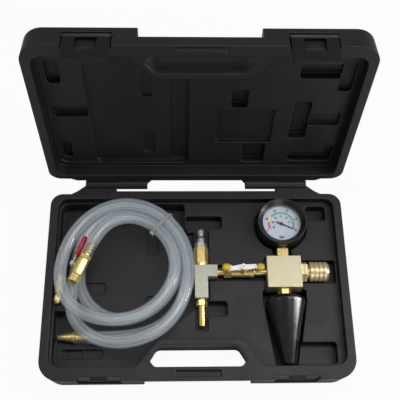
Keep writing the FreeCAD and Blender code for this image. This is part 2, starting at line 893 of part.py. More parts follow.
def make_gauge_socket():
    """The hex stem, its neck through the case and the square root of the Bourdon tube."""
    start = block_rear - S.thread_length
    body = new_body("gauge_socket", (S.stem_x, start, axis_z), ALONG["+Y"])
    neck_start = S.thread_length + S.stem_square_length
    inside = S.gauge_y - S.gauge_radius - start + S.gauge_wall
    thread = S.port_radius - S.thread_gap
    revolve(body, [
        (2.2, 0),
        (thread, 0),
        (thread, S.thread_length),
        (S.stem_neck, S.thread_length),
        (S.stem_neck, inside + 1.5),
        (2.2, inside + 1.5),
    ])
    flat = S.stem_square / 2
    square = box_loop(-flat, flat, -flat, flat, 1)
    sk = sketch(body, "XY", S.thread_length, square, circle(0, 0, 3))
    pad(body, sk, S.stem_square_length)
    root = box_loop(-7, 7, -6, 6)
    pad(body, sketch(body, "XY", inside + 1.3, root), 8.7)
    pocket(body, sketch(body, "XY", inside + 6, circle(0, 0, 2.2)), 6.5)
    return body


def gauge_back():
    return axis_z - S.gauge_back_drop / 2


def make_gauge_case():
    """A pressed steel cup with a rolled front edge and a hole for the stem."""
    outer, wall = S.gauge_radius, S.gauge_wall
    inner, top = outer - wall, S.gauge_height
    body = turned("gauge_case", (S.stem_x, S.gauge_y, gauge_back()), "+Z", [
        (0, 0),
        (outer - 2, 0),
        (outer, 2),
        (outer, top),
        (S.boot_lip_inner, top),
        (S.boot_lip_inner, top - 1),
        (inner, top - 1),
        (inner, wall + 1),
        (inner - 1, wall),
        (0, wall),
    ])
    hole = circle(0, S.gauge_back_drop / 2, S.stem_neck + 0.2)
    pocket(body, sketch(body, "XZ", -outer - 2, hole), 12, forward=False)
    return body


def make_gauge_boot():
    """The rubber boot: a sleeve round the case, with a funnel-shaped lip over its front."""
    inner = S.gauge_radius + S.boot_gap
    top = S.gauge_height + S.boot_lip
    back = -S.boot_back
    body = turned("gauge_boot", (S.stem_x, S.gauge_y, gauge_back()), "+Z", [
        (inner - 4, back),
        (S.boot_radius - 2, back),
        (S.boot_radius, 1),
        (S.boot_radius, top - 2),
        (S.boot_radius - 0.6, top),
        (S.boot_mouth, top),
        (S.boot_lip_inner, S.gauge_height + S.boot_gap),
        (inner, S.gauge_height + S.boot_gap),
        (inner, -0.1),
        (inner - 4, -0.1),
    ])
    level = S.gauge_back_drop / 2
    notch = box_loop(-8, 8, level - 8, level + 8, 3)
    pocket(body, sketch(body, "XZ", -S.boot_radius - 2, notch), 10)
    return body


def make_dial():
    level = gauge_back() + S.gauge_height - 1 - S.window_drop - S.window_thickness - S.dial_drop
    thick = S.dial_thickness
    return turned("gauge_dial", (S.stem_x, S.gauge_y, level), "+Z", [
        (1.7, 0), (S.dial_radius, 0), (S.dial_radius, thick), (1.7, thick)
    ])


def make_window():
    level = gauge_back() + S.gauge_height - 1 - S.window_drop - S.window_thickness
    radius = S.gauge_radius - S.gauge_wall - 0.1
    thick = S.window_thickness + S.window_drop
    return turned("gauge_window", (S.stem_x, S.gauge_y, level), "+Z", [
        (0, 0), (radius, 0), (radius, thick), (0, thick)
    ])


def plate_top():
    return axis_z - 6


def make_movement():
    """Two plates on pillars, hung from the socket; the posts on top carry the dial."""
    body = new_body("gauge_movement", (S.stem_x, S.gauge_y, plate_top()))
    lower = box_loop(-9, 9, -24, 12)
    pad(body, sketch(body, "XY", 0, lower), 1.2, backward=True)
    spots = [(x, y) for x in (-7, 7) for y in (-10.5, 9)]
    pillars = [circle(x, y, 1.2) for x, y in spots]
    pad(body, sketch(body, "XY", 0, *pillars), 6)
    upper = box_loop(-9, 9, -14.5, 12)
    pad(body, sketch(body, "XY", 5.8, upper), 1.2)
    dial = gauge_back() + S.gauge_height - 1 - S.window_drop - S.window_thickness - S.dial_drop
    posts = [circle(x, y, 1.2) for x, y in spots]
    pad(body, sketch(body, "XY", 6.5, *posts), dial - plate_top() - 6.5)
    for y, radius in ((0, 1.15), (-S.pivot_drop, 1.0)):
        pocket(body, sketch(body, "XY", 8, circle(0, y, radius)), 10)
    return body


def make_sector():
    """The toothed sector that turns the pinion; its arbor runs in both plates."""
    body = new_body("sector_gear", (S.stem_x, S.gauge_y - S.pivot_drop, plate_top()))
    reach = S.pivot_drop - S.pinion_radius - 0.5
    points = [(-2, -2), (2, -2)]
    for index in range(11):
        for part, radius in ((0.0, reach - 0.7), (0.25, reach), (0.6, reach), (0.85, reach - 0.7)):
            angle = math.radians(71.5 + (index + part) * 3.4)
            points.append((dim(radius) * math.cos(angle), dim(radius) * math.sin(angle)))
    pad(body, sketch(body, "XY", 2, points), 1.2)
    pad(body, sketch(body, "XY", -1, circle(0, 0, 0.9)), 7.8)
    return body


def make_needle():
    """The pointer, its hub and the shaft with the pinion, as one piece pressed together."""
    body = new_body("gauge_needle", (S.stem_x, S.gauge_y, plate_top()), Rotation(Vector(0, 0, 1), -25))
    dial = gauge_back() + S.gauge_height - 1 - S.window_drop - S.window_thickness - S.dial_drop
    level = dial + S.dial_thickness - plate_top() + 0.7
    pad(body, sketch(body, "XY", -1, circle(0, 0, 1.05)), level + 1)
    pad(body, sketch(body, "XY", level - 0.3, circle(0, 0, S.needle_hub)), 1.7)
    blade = [
        (-S.needle_tail, -0.9),
        (0, -1.1),
        (S.needle_length, -0.25),
        (S.needle_length, 0.25),
        (0, 1.1),
        (-S.needle_tail, 0.9),
    ]
    pad(body, sketch(body, "XY", level, blade), 0.6)
    teeth = []
    for index in range(8):
        for part, radius in ((0.0, 1.15), (0.3, 1.6), (0.6, 1.6), (0.9, 1.15)):
            angle = math.radians((index + part) * 45)
            teeth.append((radius * math.cos(angle), radius * math.sin(angle)))
    pad(body, sketch(body, "XY", 1.6, teeth), 2)
    return body


def make_bourdon():
    """A flattened tube bent round most of a circle, from its root on the socket."""
    body = new_body("bourdon_tube", (S.stem_x, S.gauge_y, axis_z), Rotation(Vector(0, 0, 1), -67.5))
    low, high = S.tube_radius - S.tube_thick / 2, S.tube_radius + S.tube_thick / 2
    half = S.tube_high / 2
    profile = box_loop(low, high, -half, half, 1.2)
    sk = sketch(body, "XZ", 0, profile)
    feature = body.newObject("PartDesign::Revolution", "bourdon_turn")
    feature.Profile = sk
    feature.ReferenceAxis = (sk, ["V_Axis"])
    feature.Angle = 258
    return body


# ---------------------------------------------------------------- cone

def make_cone_nipple():
    start = S.thread_length
    body = new_body("cone_nipple", (S.stem_x, block_front + start, axis_z), ALONG["-Y"])
    thread = S.port_radius - S.thread_gap
    seat = start + S.nipple_hex_length
    end = seat + S.cone_length - 3
    revolve(body, [
        (2.6, 0),
        (thread, 0),
        (thread, start + 0.2),
        (S.nipple_tube, start + 0.2),
        (S.nipple_tube, end),
        (2.6, end),
    ])
    sk = sketch(body, "XY", start, hexagon(S.nipple_hex, flats_up=True), circle(0, 0, 3.2))
    pad(body, sk, S.nipple_hex_length)
    return body


def make_cone():
    """The stepped back edge and long taper of the rubber cone, bored for the tube."""
    seat = block_front - S.nipple_hex_length
    body = turned("rubber_cone", (S.stem_x, seat, axis_z), "-Y", [
        (S.cone_bore, 0),
        (S.cone_back_radius - 4, 0),
        (S.cone_back_radius - 1, 1.6),
        (S.cone_back_radius, 5),
        (S.cone_back_radius - 0.6, 8),
        (S.cone_tip_radius + 0.6, S.cone_length - 2),
        (S.cone_tip_radius - 0.6, S.cone_length),
        (S.cone_bore, S.cone_length),
    ])
    return body


# ---------------------------------------------------------------- quick coupler

def coupler_at():
    return (block_right - S.thread_length, S.tester_y, axis_z)


def make_coupler_body():
    hex_end = S.thread_length + S.coupler_hex_length
    end = S.thread_length + S.coupler_length
    seat = end - S.mouth_depth
    thread = S.port_radius - S.thread_gap
    chamber = S.poppet_radius + 0.4
    step = seat - S.seal_width
    body = turned("coupler_body", coupler_at(), "+X", [
        (3.2, 0),
        (thread, 0),
        (thread, S.thread_length),
        (S.barrel_radius - 1.2, S.thread_length),
        (S.barrel_radius - 1.2, hex_end + 3),
        (S.barrel_radius, hex_end + 3),
        (S.barrel_radius, hex_end + 6.2),
        (S.barrel_radius + 1.5, hex_end + 6.2),
        (S.barrel_radius + 1.5, hex_end + 7),
        (S.barrel_radius, hex_end + 7),
        (S.barrel_radius, end),
        (S.coupler_mouth + 0.8, end),
        (S.coupler_mouth, end - 0.8),
        (S.coupler_mouth, seat),
        (S.coupler_mouth + 1, seat),
        (S.coupler_mouth + 1, step),
        (chamber, step),
        (chamber, S.thread_length + 2),
        (3.2, S.thread_length + 2),
    ])
    sk = sketch(body, "XY", S.thread_length, hexagon(S.coupler_hex), circle(0, 0, 7))
    pad(body, sk, S.coupler_hex_length)
    hole = sketch(body, "YZ", 0, circle(0, end - 6, S.ball_radius + 0.2))
    cut = pocket(body, hole, 20, forward=True)
    ring = body.newObject("PartDesign::PolarPattern", "ball_holes")
    ring.Originals = [cut]
    ring.Axis = (body.Origin.OriginFeatures[2], [""])
    ring.Occurrences = 4
    ring.Angle = 360
    body.Tip = ring
    return body


def make_coupler_sleeve():
    """The knurled sleeve; wide inside over the spring, close round the barrel in front."""
    start = S.thread_length + S.coupler_length - S.sleeve_length
    body = new_body("coupler_sleeve", coupler_at(), ALONG["+X"])
    outer, inner = S.sleeve_radius, S.barrel_radius + S.sleeve_gap
    wide = S.barrel_radius + 1.5 + S.sleeve_gap
    end = start + S.sleeve_length - 0.4
    points = [(wide, start), (outer - 0.8, start), (outer, start + 0.8)]
    for index in range(3):
        at = start + 5 + 5 * index
        points += [(outer, at), (outer - 0.7, at + 0.5), (outer - 0.7, at + 1.3), (outer, at + 1.8)]
    points += [
        (outer, end - 3),
        (outer - 1.5, end),
        (inner, end),
        (inner, end - 9),
        (wide, end - 9),
    ]
    revolve(body, points)
    return body


def make_spring(label, at, wire, radius, length, turns):
    """A compression spring along +X, as it stands at rest."""
    radius, pitch = dim(radius).number, (dim(length).number - 2 * wire) / turns
    path = []
    for step in range(16 * turns + 1):
        angle = math.radians(22.5 * step)
        path.append(Vector(radius * math.cos(angle), radius * math.sin(angle), wire + pitch * step / 16))
    ring = Part.makePolygon(section(path[0], path[1] - path[0], wire))
    coil_shape = Part.makePolygon(path).makePipeShell([ring], True, False, 1)
    thing = show(label, coil_shape)
    put(thing, at, ALONG["+X"])
    return thing


def section(centre, ahead, radius):
    """A six-sided wire section square to the way ahead."""
    across = Vector(centre.x, centre.y, 0).normalize()
    upward = ahead.normalize().cross(across)
    turns = [math.radians(60 * corner) for corner in range(7)]
    return [centre + across * (radius * math.cos(a)) + upward * (radius * math.sin(a)) for a in turns]


def make_coupler_parts():
    x, y, z = coupler_at()
    hex_end = S.thread_length + S.coupler_hex_length
    end = S.thread_length + S.coupler_length
    seat = end - S.mouth_depth
    turned("coupler_seal", (x + seat - S.seal_width + 0.05, y, z), "+X", [
        (4.3, 0), (S.coupler_mouth + 0.95, 0),
        (S.coupler_mouth + 0.95, S.seal_width - 0.1), (4.3, S.seal_width - 0.1),
    ])
    top = seat - S.seal_width - 0.25
    turned("coupler_poppet", (x, y, z), "+X", [
        (0, top - 2), (S.poppet_radius, top - 2), (S.poppet_radius, top), (3.4, top),
        (3.0, top + 1.6), (0, top + 1.6),
    ])
    length = top - 2 - S.thread_length - 2.2
    make_spring("poppet_spring", (x + S.thread_length + 2.1, y, z), 0.4, 4.1, length, 5)
    step = end - 9.4
    room = step - hex_end - 7.4
    make_spring("coupler_spring", (x + hex_end + 7.2, y, z), 0.5, S.barrel_radius + 0.75, room, 4)
    balls = new_body("coupler_balls", (x + end - 6, y, z), ALONG["+X"])
    radius = S.ball_radius
    arc = sketch(balls, "XY", 0, half_disc(8.0, radius))
    turn = balls.newObject("PartDesign::Revolution", "ball_turn")
    turn.Profile = arc
    turn.ReferenceAxis = (arc, ["H_Axis"])
    turn.Angle = 360
    ring = balls.newObject("PartDesign::PolarPattern", "ball_ring")
    ring.Originals = [turn]
    ring.Axis = (balls.Origin.OriginFeatures[2], [""])
    ring.Occurrences = 4
    ring.Angle = 360
    balls.Tip = ring


def half_disc(centre, radius):
    """Half a round outline above the sketch's own X axis, in short straight sides."""
    points = []
    for index in range(9):
        angle = math.radians(180 / 8 * index)
        points.append((centre + radius * math.cos(angle), radius * math.sin(angle)))
    return points


# ---------------------------------------------------------------- venturi block

def make_tee():
    body = new_body("venturi_block", (S.tee_x, S.tester_y, axis_z))
    half = S.tee_width / 2
    front = S.tee_rear - S.tee_length
    arm = S.tee_arm_width / 2
    outline = [
        (-half, front), (half, front), (half, -arm), (half + S.tee_arm, -arm),
        (half + S.tee_arm, arm), (half, arm), (half, S.tee_rear), (-half, S.tee_rear),
    ]
    if abs(arm.number - S.tee_rear.number) < 1e-6:
        outline.pop(5)
        outline.pop(5)
        outline.insert(5, (-half, S.tee_rear))
        outline.pop()
    thick = S.tee_thickness
    pad(body, sketch(body, "XY", -thick / 2, outline), thick)
    pocket(body, sketch(body, "XZ", front, circle(0, 0, S.tee_bore)), S.tee_length)
    port = sketch(body, "XZ", S.tee_rear - S.port_depth, circle(0, 0, S.port_radius))
    pocket(body, port, S.port_depth)
    pocket(body, sketch(body, "XZ", front, circle(0, 0, S.small_port_radius)), S.port_depth)
    end = half + S.tee_arm
    pocket(body, sketch(body, "YZ", end, circle(0, 0, S.valve_bore)), end)
    pocket(body, sketch(body, "YZ", end, circle(0, 0, S.small_port_radius)), S.port_depth)
    return body


def make_tee_parts():
    thread = S.port_radius - S.thread_gap
    small = S.small_port_radius - S.thread_gap
    x, z = S.tee_x, axis_z
    turned("venturi_nozzle", (x, tee_rear - S.port_depth - 1, z), "-Y", [
        (2.4, 0), (S.tee_bore - 0.05, 0), (S.tee_bore - 0.05, 4), (2.6, 5.5), (2.0, 10), (1.2, 10), (1.6, 4),
    ])
    # adaptor: round neck, then a hexagon with a female port for the plug
    at = tee_rear - S.thread_length
    neck = S.thread_length + S.adaptor_neck
    end = S.thread_length + S.adaptor_length
    body = turned("plug_adaptor", (x, at, z), "+Y", [
        (S.tee_bore, 0), (thread, 0), (thread, S.thread_length), (S.adaptor_hex / 2 - 0.6, S.thread_length),
        (S.adaptor_hex / 2 - 0.2, neck + 1), (S.adaptor_hex / 2 - 0.2, end), (S.port_radius, end),
        (S.port_radius, end - S.port_depth), (S.tee_bore, end - S.port_depth),
    ])
    ring = hexagon(S.adaptor_hex, flats_up=True)
    sk = sketch(body, "XY", neck, ring, circle(0, 0, S.port_radius + 0.5))
    pad(body, sk, S.adaptor_length - S.adaptor_neck)
    make_plug("quick_plug", (x, at + end - S.thread_length, z), ALONG["+Y"], S.plug_hex)
    # hose tail under the block
    turned_tail(x, z, small)


def make_plug(label, at, turn, across):
    """A quick plug: thread, hexagon, body, locking groove and rounded nose, bored through."""
    body = new_body(label, at, turn)
    base = S.thread_length + S.plug_hex_length
    end = base + S.plug_length
    revolve(body, [
        (2.4, 0),
        (S.plug_body - 0.3, 0),
        (S.plug_body - 0.3, S.thread_length),
        (S.plug_body, base),
        (S.plug_body, base + 6),
        (S.plug_neck + 0.6, base + 8.6),
        (S.plug_neck, base + 9.2),
        (S.plug_neck, base + 10.8),
        (S.plug_nose, base + 11.8),
        (S.plug_nose, end - 3),
        (S.plug_nose - 1.2, end - 0.8),
        (S.plug_nose - 2, end),
        (2.4, end),
    ])
    sk = sketch(body, "XY", S.thread_length, hexagon(across, flats_up=True), circle(0, 0, 3.4))
    pad(body, sk, S.plug_hex_length)
    return body


def turned_tail(x, z, small):
    at = tee_front + S.thread_length
    neck = S.thread_length + S.barb_neck_length
    start = neck + S.barb_hex_length
    count = 6
    end = start + S.barb_pitch * count
    points = [(2.3, 0), (small, 0), (small, neck), (S.barb_root, neck), (S.barb_root, start)]
    points += barbs(S.barb_root, S.barb_ridge, S.barb_pitch, count, start)
    points += [(2.3, end)]
    body = turned("barb_fitting", (x, at, z), "-Y", points)
    sk = sketch(body, "XY", neck, hexagon(S.barb_hex, flats_up=True), circle(0, 0, 3))
    pad(body, sk, S.barb_hex_length)


# ---------------------------------------------------------------- tester valve

def make_valve():
    left = arm_end + S.valve_left
    right = block_left + S.thread_length
    y, z = S.tester_y, axis_z
    thread = S.small_port_radius - S.thread_gap
    start = arm_end - S.thread_length + 0.2
    inside = S.thread_length - 0.2
    reach = inside + S.valve_left
    turned("valve_nipple", (start, y, z), "+X", [
        (2.6, 0), (thread, 0), (thread, inside), (thread - 0.6, inside), (thread - 0.6, reach),
        (3.9, reach), (3.9, reach + 5), (2.6, reach + 5),
    ])
    ball_at = S.valve_x - left
    seat, chamber = S.valve_ball_radius + 1.6, S.valve_ball_radius + 0.5
    length = right - left
    tail = length - S.thread_length
    body = turned("valve_body", (left, y, z), "+X", [
        (4.0, 0),
        (S.valve_radius - 0.4, 0),
        (S.valve_radius - 0.4, S.valve_hex_length),
        (S.valve_radius, S.valve_hex_length),
        (S.valve_radius, ball_at + 9),
        (S.valve_radius + 0.6, ball_at + 9),
        (S.valve_radius + 0.6, ball_at + 14),
        (thread - 0.4, ball_at + 15.5),
        (thread - 0.4, tail),
        (thread, tail),
        (thread, length),
        (S.valve_bore, length),
        (S.valve_bore, ball_at + seat),
        (chamber, ball_at + seat),
        (chamber, ball_at - seat),
        (S.valve_bore, ball_at - seat),
        (S.valve_bore, 5.4),
        (4.0, 5.4),
    ])
    pad(body, sketch(body, "XY", 0, hexagon(S.valve_hex), circle(0, 0, 5)), S.valve_hex_length)
    boss = sketch(body, "YZ", -chamber, circle(0, ball_at, S.boss_radius))
    pad(body, boss, S.boss_height - chamber, backward=True)
    hole = sketch(body, "YZ", 0, circle(0, ball_at, S.stem_radius + S.running_gap))
    pocket(body, hole, S.boss_height + 2, forward=False).Reversed = False
    for label, offset in (("valve_seats", 0),):
        ring = S.valve_ball_radius + 0.4
        seats = new_body(label, (S.valve_x, y, z), ALONG["+X"])
        face = seat - 0.1
        for sign in (-1, 1):
            begin = face * sign if sign < 0 else face - 1.5
            sk = sketch(seats, "XY", begin, circle(0, 0, ring), circle(0, 0, S.valve_bore + 0.1))
            pad(seats, sk, 1.5)
    make_valve_ball("valve_ball", (S.valve_x, y, z), Rotation())
    make_valve_stem("valve_stem", (S.valve_x, y, z), Rotation(), S.lever_rise + S.lever_thickness + S.nut_height)
    make_butterfly(y, z)


def make_valve_ball(label, at, turn):
    """A bored ball with a slot for the stem; its bore lies along the body's own X axis."""
    body = new_body(label, at, turn)
    radius = S.valve_ball_radius
    arc = sketch(body, "XZ", 0, ball_outline(radius))
    turning = body.newObject("PartDesign::Revolution", f"{label}_turn")
    turning.Profile = arc
    turning.ReferenceAxis = (arc, ["V_Axis"])
    turning.Angle = 360
    pocket(body, sketch(body, "YZ", radius + 1, circle(0, 0, S.valve_bore)), radius * 2 + 2)
    slot = box_loop(-radius, radius, -1.1, 1.1)
    pocket(body, sketch(body, "XY", radius + 1, slot), 2.2)
    return body


def ball_outline(radius):
    points = [(0, -radius)]
    for index in range(1, 10):
        angle = math.radians(-90 + 18 * index)
        points.append((radius * math.cos(angle), radius * math.sin(angle)))
    points.append((0, radius))
    return points


def make_valve_stem(label, at, turn, height):
    """A round stem with a tang in the ball's slot."""
    body = new_body(label, at, turn)
    low = S.valve_ball_radius + 0.1
    pad(body, sketch(body, "XY", low, circle(0, 0, S.stem_radius)), height - low)
    tang = box_loop(-1.6, 1.6, -0.95, 0.95)
    pad(body, sketch(body, "XY", low - 1.1, tang), 1.6)
    return body


def make_butterfly(y, z):
    """The two-winged lever, its vinyl caps and the nut that holds it on the stem."""
    level = z + S.lever_rise
    lever = new_body("valve_lever", (S.valve_x, y, level))
    half, width = S.lever_half, S.lever_width / 2
    outline = [
        (-half, -width - 0.6, 1), (-width, -width, 2), (width, -width, 2), (half, -width + 2.4, 1),
        (half, width + 0.6, 1), (width, width, 2), (-width, width, 2), (-half, width - 2.4, 1),
    ]
    sk = sketch(lever, "XY", 0, outline, circle(0, 0, S.stem_radius + 0.05))
    pad(lever, sk, S.lever_thickness)
    for side in (-1, 1):
        start = (half - 1.2) * side if side > 0 else -half
        pad(lever, sketch(lever, "YZ", start, box_loop(-width + 1, width - 1, 0, 3)), 1.2)
    caps = new_body("lever_caps", (S.valve_x, y, level))
    for side in (-1, 1):
        near = half + 0.1 if side > 0 else -half - 0.1 - S.cap_length
        wide = S.cap_width / 2
        pad(caps, sketch(caps, "XY", -1, box_loop(near, near + S.cap_length, -wide, wide, 3.4)), S.cap_height)
    nut = new_body("lever_nut", (S.valve_x, y, level + S.lever_thickness))
    sk = sketch(nut, "XY", 0, hexagon(S.nut_hex), circle(0, 0, S.stem_radius + 0.05))
    pad(nut, sk, S.nut_height)


# ---------------------------------------------------------------- hose

def racetrack(radius):
    """Half circles at the front and rear, joined by straight sides, as one closed outline."""
    left, right = S.coil_x - radius, S.coil_x + radius
    spread = S.coil_radius - radius
    front, rear = S.coil_front + spread, S.coil_rear - spread
    round_in = radius - 0.01
    return [(left, front, round_in), (right, front, round_in), (right, rear, round_in), (left, rear, round_in)]


def make_coil():
    """The lower turns of the hose, as the outer shape of the coil."""
    body = new_body("hose_coil")
    inner = S.coil_radius - S.coil_band
    sk = sketch(body, "XY", S.coil_bottom, racetrack(S.coil_radius), racetrack(inner))
    ring = pad(body, sk, S.coil_height)
    doc.recompute()
    top = S.coil_bottom + S.coil_height
    names = level_edges(ring.Shape, S.coil_bottom.number) + level_edges(ring.Shape, top.number)
    fillet(body, ring, names, S.hose_radius - 0.6)
    return body


def run_points():
    """The upper strand: once round outside, then across to a smaller turn and to the valve."""
    level = strand_z.number
    route = [
        (-122, -44, -17.6), (-104.5, -61.5, -14.5), (-84, -73, -7), (-58, -67, -1), (-33, -46, 0),
        (-16, -16, 0), (-11.3, 18, 0), (-19, 51, 0), (-39, 79, 0), (-68, 96, 0), (-100, 98, 0),
        (-130, 84, 0), (-151.5, 60, 0), (-162.9, 32, 0), (-166.2, 2.5, 0), (-158, -26, 0), (-138.5, -45.5, 0),
        (-109, -54.5, 0), (-76, -48, 0), (-45, -29, 0), (-29, 0, 0), (-29.5, 32, 0), (-47.6, 64, 0),
        (-76, 80.5, 0), (-105, 75, 0),
    ]
    points = [Vector(x, y, level + drop) for x, y, drop in route]
    back = Vector(HOSE_AHEAD).normalize() * -26
    return points + [HOSE_END + back, Vector(HOSE_END)]


def rounded_path(label, points):
    """Straight runs joined by tangent arcs, each as large as its two runs allow."""
    edges, radii = [], []
    last = points[0]
    for i in range(1, len(points) - 1):
        back, ahead = points[i - 1] - points[i], points[i + 1] - points[i]
        short = min(back.Length, ahead.Length)
        turn = math.pi - back.getAngle(ahead)
        reach = 0.45 * short
        radius = reach / math.tan(turn / 2)
        radii.append(radius)
        back.normalize()
        ahead.normalize()
        start, stop = points[i] + back * reach, points[i] + ahead * reach
        middle = points[i] + (back + ahead).normalize() * (radius / math.cos(turn / 2) - radius)
        edges.append(Part.LineSegment(last, start).toShape())
        edges.append(Part.Arc(start, middle, stop).toShape())
        last = stop
    edges.append(Part.LineSegment(last, points[-1]).toShape())
    print(label, "bend radii", " ".join(f"{radius:.0f}" for radius in radii))
    return Part.Wire(edges)


def hose_tube(label, points):
    """A plain tube along a rounded path."""
    path = rounded_path(label, points)
    ahead = points[1] - points[0]
    ring = Part.Wire(Part.Circle(points[0], ahead, S.hose_radius.number).toShape())
    tube = path.makePipeShell([ring], True, False)
    expected = math.pi * S.hose_radius.number ** 2 * path.Length
    print(label, "length", round(path.Length, 1), "volume share", round(tube.Volume / expected, 4))
    return tube


def bored_end(tube, end, inward, depth):
    """Opens the tube's end for a fitting's tail."""
    bore = Part.makeCylinder(S.hose_bore.number, depth, end, inward)
    return tube.cut(bore)


def valve_turn():
    """The hose valve's frame: its Z along the bore away from the hose, its X along the stem."""
    along = Vector(HOSE_AHEAD).normalize()
    stem = Vector(along.y, -along.x, 0)
    return along, Rotation(stem, along.cross(stem), along, "ZXY")


def make_hose_tubes(coil):
    along, _ = valve_turn()
    points = run_points()
    run = hose_tube("hose_run", points).cut(coil.Shape)
    run = bored_end(run, points[-1], along * -1, 16.5)
    show("hose_run", run)
    level = rim.number - S.compartment_drop.number + 0.3 + S.hose_radius.number
    nozzle_end = Vector(-147.8, -63, level)
    straight = Part.makeCylinder(S.hose_radius.number, 40, nozzle_end, Vector(1, 0, 0))
    lead = straight.cut(coil.Shape)
    lead = min(lead.Solids, key=lambda solid: solid.BoundBox.XMin)
    show("hose_lead", bored_end(lead, nozzle_end, Vector(1, 0, 0), 16.2))


def show(label, shape):
    thing = doc.addObject("Part::Feature", label)
    thing.Label = label
    thing.Shape = shape
    return thing


def make_tie():
    """A nylon tie round the whole bundle, with its head on the inside."""
    angle = math.radians(S.tie_angle.number)
    middle = 58.1
    rear_centre = S.coil_rear - S.coil_radius
    at = (S.coil_x + middle * math.cos(angle), rear_centre + middle * math.sin(angle), 0)
    body = new_body("hose_tie", at, Rotation(Vector(0, 0, 1), S.tie_angle.number))
    thick = S.tie_thickness
    low, high = S.coil_bottom - 0.3, strand_z + S.hose_radius + 0.3
    half = dim(19.4)
    outer = box_loop(-half - thick, half + thick, low - thick, high + thick, 5)
    inner = box_loop(-half, half, low, high, 4)
    pad(body, sketch(body, "XZ", -S.tie_width / 2, outer, inner), S.tie_width, backward=True)
    head = box_loop(-half - thick - 4, -half - thick + 0.4, high - 12, high - 6)
    pad(body, sketch(body, "XZ", -3, head), 6, backward=True)
    return body


def make_nozzle():
    level = rim - S.compartment_drop + 0.3 + S.hose_radius
    root, ridge = S.hose_bore - 0.7, S.hose_bore - 0.05
    points = [(2, -16), (root, -16)]
    for index in range(4):
        low = -16 + 3.6 * index
        points += [(ridge, low + 3), (root, low + 3.6)]
    points += [
        (root, 0.2), (S.nozzle_radius + 0.8, 0.2), (S.nozzle_radius + 0.8, 3.4), (S.nozzle_radius, 3.6),
        (S.nozzle_tip + 0.6, 3.6 + S.nozzle_length), (S.nozzle_tip, 4.2 + S.nozzle_length),
        (1.2, 4.2 + S.nozzle_length),
    ]
    return turned("hose_nozzle", (-147.8, -63, level), "-X", points)


def make_hose_valve():
    _, turn = valve_turn()
    at = (HOSE_END.x, HOSE_END.y, strand_z)
    root, ridge = S.hose_bore - 0.7, S.hose_bore - 0.05
    tail = new_body("hose_valve_tail", at, turn)
    points = [(2.6, -15.5), (root, -15.5)]
    for index in range(4):
        low = -15.5 + 3.5 * index
        points += [(ridge, low + 2.9), (root, low + 3.5)]
    points += [(root, 0.2), (6.2, 0.2), (6.2, 5), (4.6, 5), (4.6, 7.8), (2.6, 7.8)]
    revolve(tail, points)
    pad(tail, sketch(tail, "XY", 0.6, hexagon(S.hvalve_hex, flats_up=True), circle(0, 0, 4)), 4)
    body = new_body("hose_valve_body", at, turn)
    start, centre = 5.2, S.hvalve_stem
    end = start + S.hvalve_length
    chamber, seat = S.valve_ball_radius + 0.5, S.valve_ball_radius + 1.6
    revolve(body, [
        (4.7, start),
        (S.hvalve_radius - 1.2, start),
        (S.hvalve_radius, start + 1.2),
        (S.hvalve_radius, end - 1.2),
        (S.hvalve_radius - 1.2, end),
        (S.hvalve_radius - 1.2, end + S.hvalve_end),
        (4.6, end + S.hvalve_end),
        (4.6, end),
        (S.valve_bore, end),
        (S.valve_bore, centre + seat),
        (chamber, centre + seat),
        (chamber, centre - seat),
        (S.valve_bore, centre - seat),
        (S.valve_bore, 8),
        (4.7, 8),
    ])
    sk = sketch(body, "XY", end, hexagon(S.hvalve_hex, flats_up=True), circle(0, 0, 5))
    pad(body, sk, S.hvalve_end)
    pad(body, sketch(body, "YZ", chamber, circle(0, centre, S.boss_radius - 0.4)), 8.6 - chamber)
    hole = sketch(body, "YZ", 0, circle(0, centre, S.stem_radius + S.running_gap))
    pocket(body, hole, 12, forward=True)
    seats = new_body("hose_valve_seats", at, turn)
    ring = S.valve_ball_radius + 0.4
    for begin in (centre - seat + 0.1, centre + seat - 1.6):
        sk = sketch(seats, "XY", begin, circle(0, 0, ring), circle(0, 0, S.valve_bore + 0.1))
        pad(seats, sk, 1.5)
    hose_valve_lever(turn, centre)


def hose_valve_lever(turn, centre):
    """Ball, stem, lever, grip and nut, all turning about the stem."""
    along, _ = valve_turn()
    stem_at = (HOSE_END.x + centre * along.x, HOSE_END.y + centre * along.y, strand_z)
    upright = turn * Rotation(Vector(0, 1, 0), 90)
    make_valve_ball("hose_valve_ball", stem_at, upright)
    height = S.hlever_offset + S.lever_thickness + 2.2
    make_valve_stem("hose_valve_stem", stem_at, upright, height)
    lever = new_body("hose_valve_lever", stem_at, turn)
    near, thick = S.hlever_offset, S.lever_thickness
    half, reach = S.hlever_width / 2, S.hlever_length
    outline = [
        (-half, -reach, 3), (half, -reach, 3), (half, -9, 2), (half - 0.6, 5, 3), (-half + 0.6, 5, 3), (-half, -9, 2),
    ]
    sk = sketch(lever, "YZ", near, outline, circle(0, 0, S.stem_radius + 0.05))
    pad(lever, sk, thick)
    grip = new_body("hose_lever_grip", stem_at, turn)
    cover = box_loop(-half - 1.2, half + 1.2, -reach - 1.2, -reach + S.grip_cover, 3.5)
    solid = pad(grip, sketch(grip, "YZ", near - 1.2, cover), thick + 2.4)
    hollow = box_loop(-half - 0.05, half + 0.05, -reach - 0.05, -reach + S.grip_cover + 6, 3)
    pocket(grip, sketch(grip, "YZ", near - 0.05, hollow), thick + 0.1, forward=True)
    nut = new_body("hose_lever_nut", stem_at, turn)
    sk = sketch(nut, "YZ", near + thick, hexagon(S.nut_hex), circle(0, 0, S.stem_radius + 0.05))
    pad(nut, sk, 2.2)
    return solid


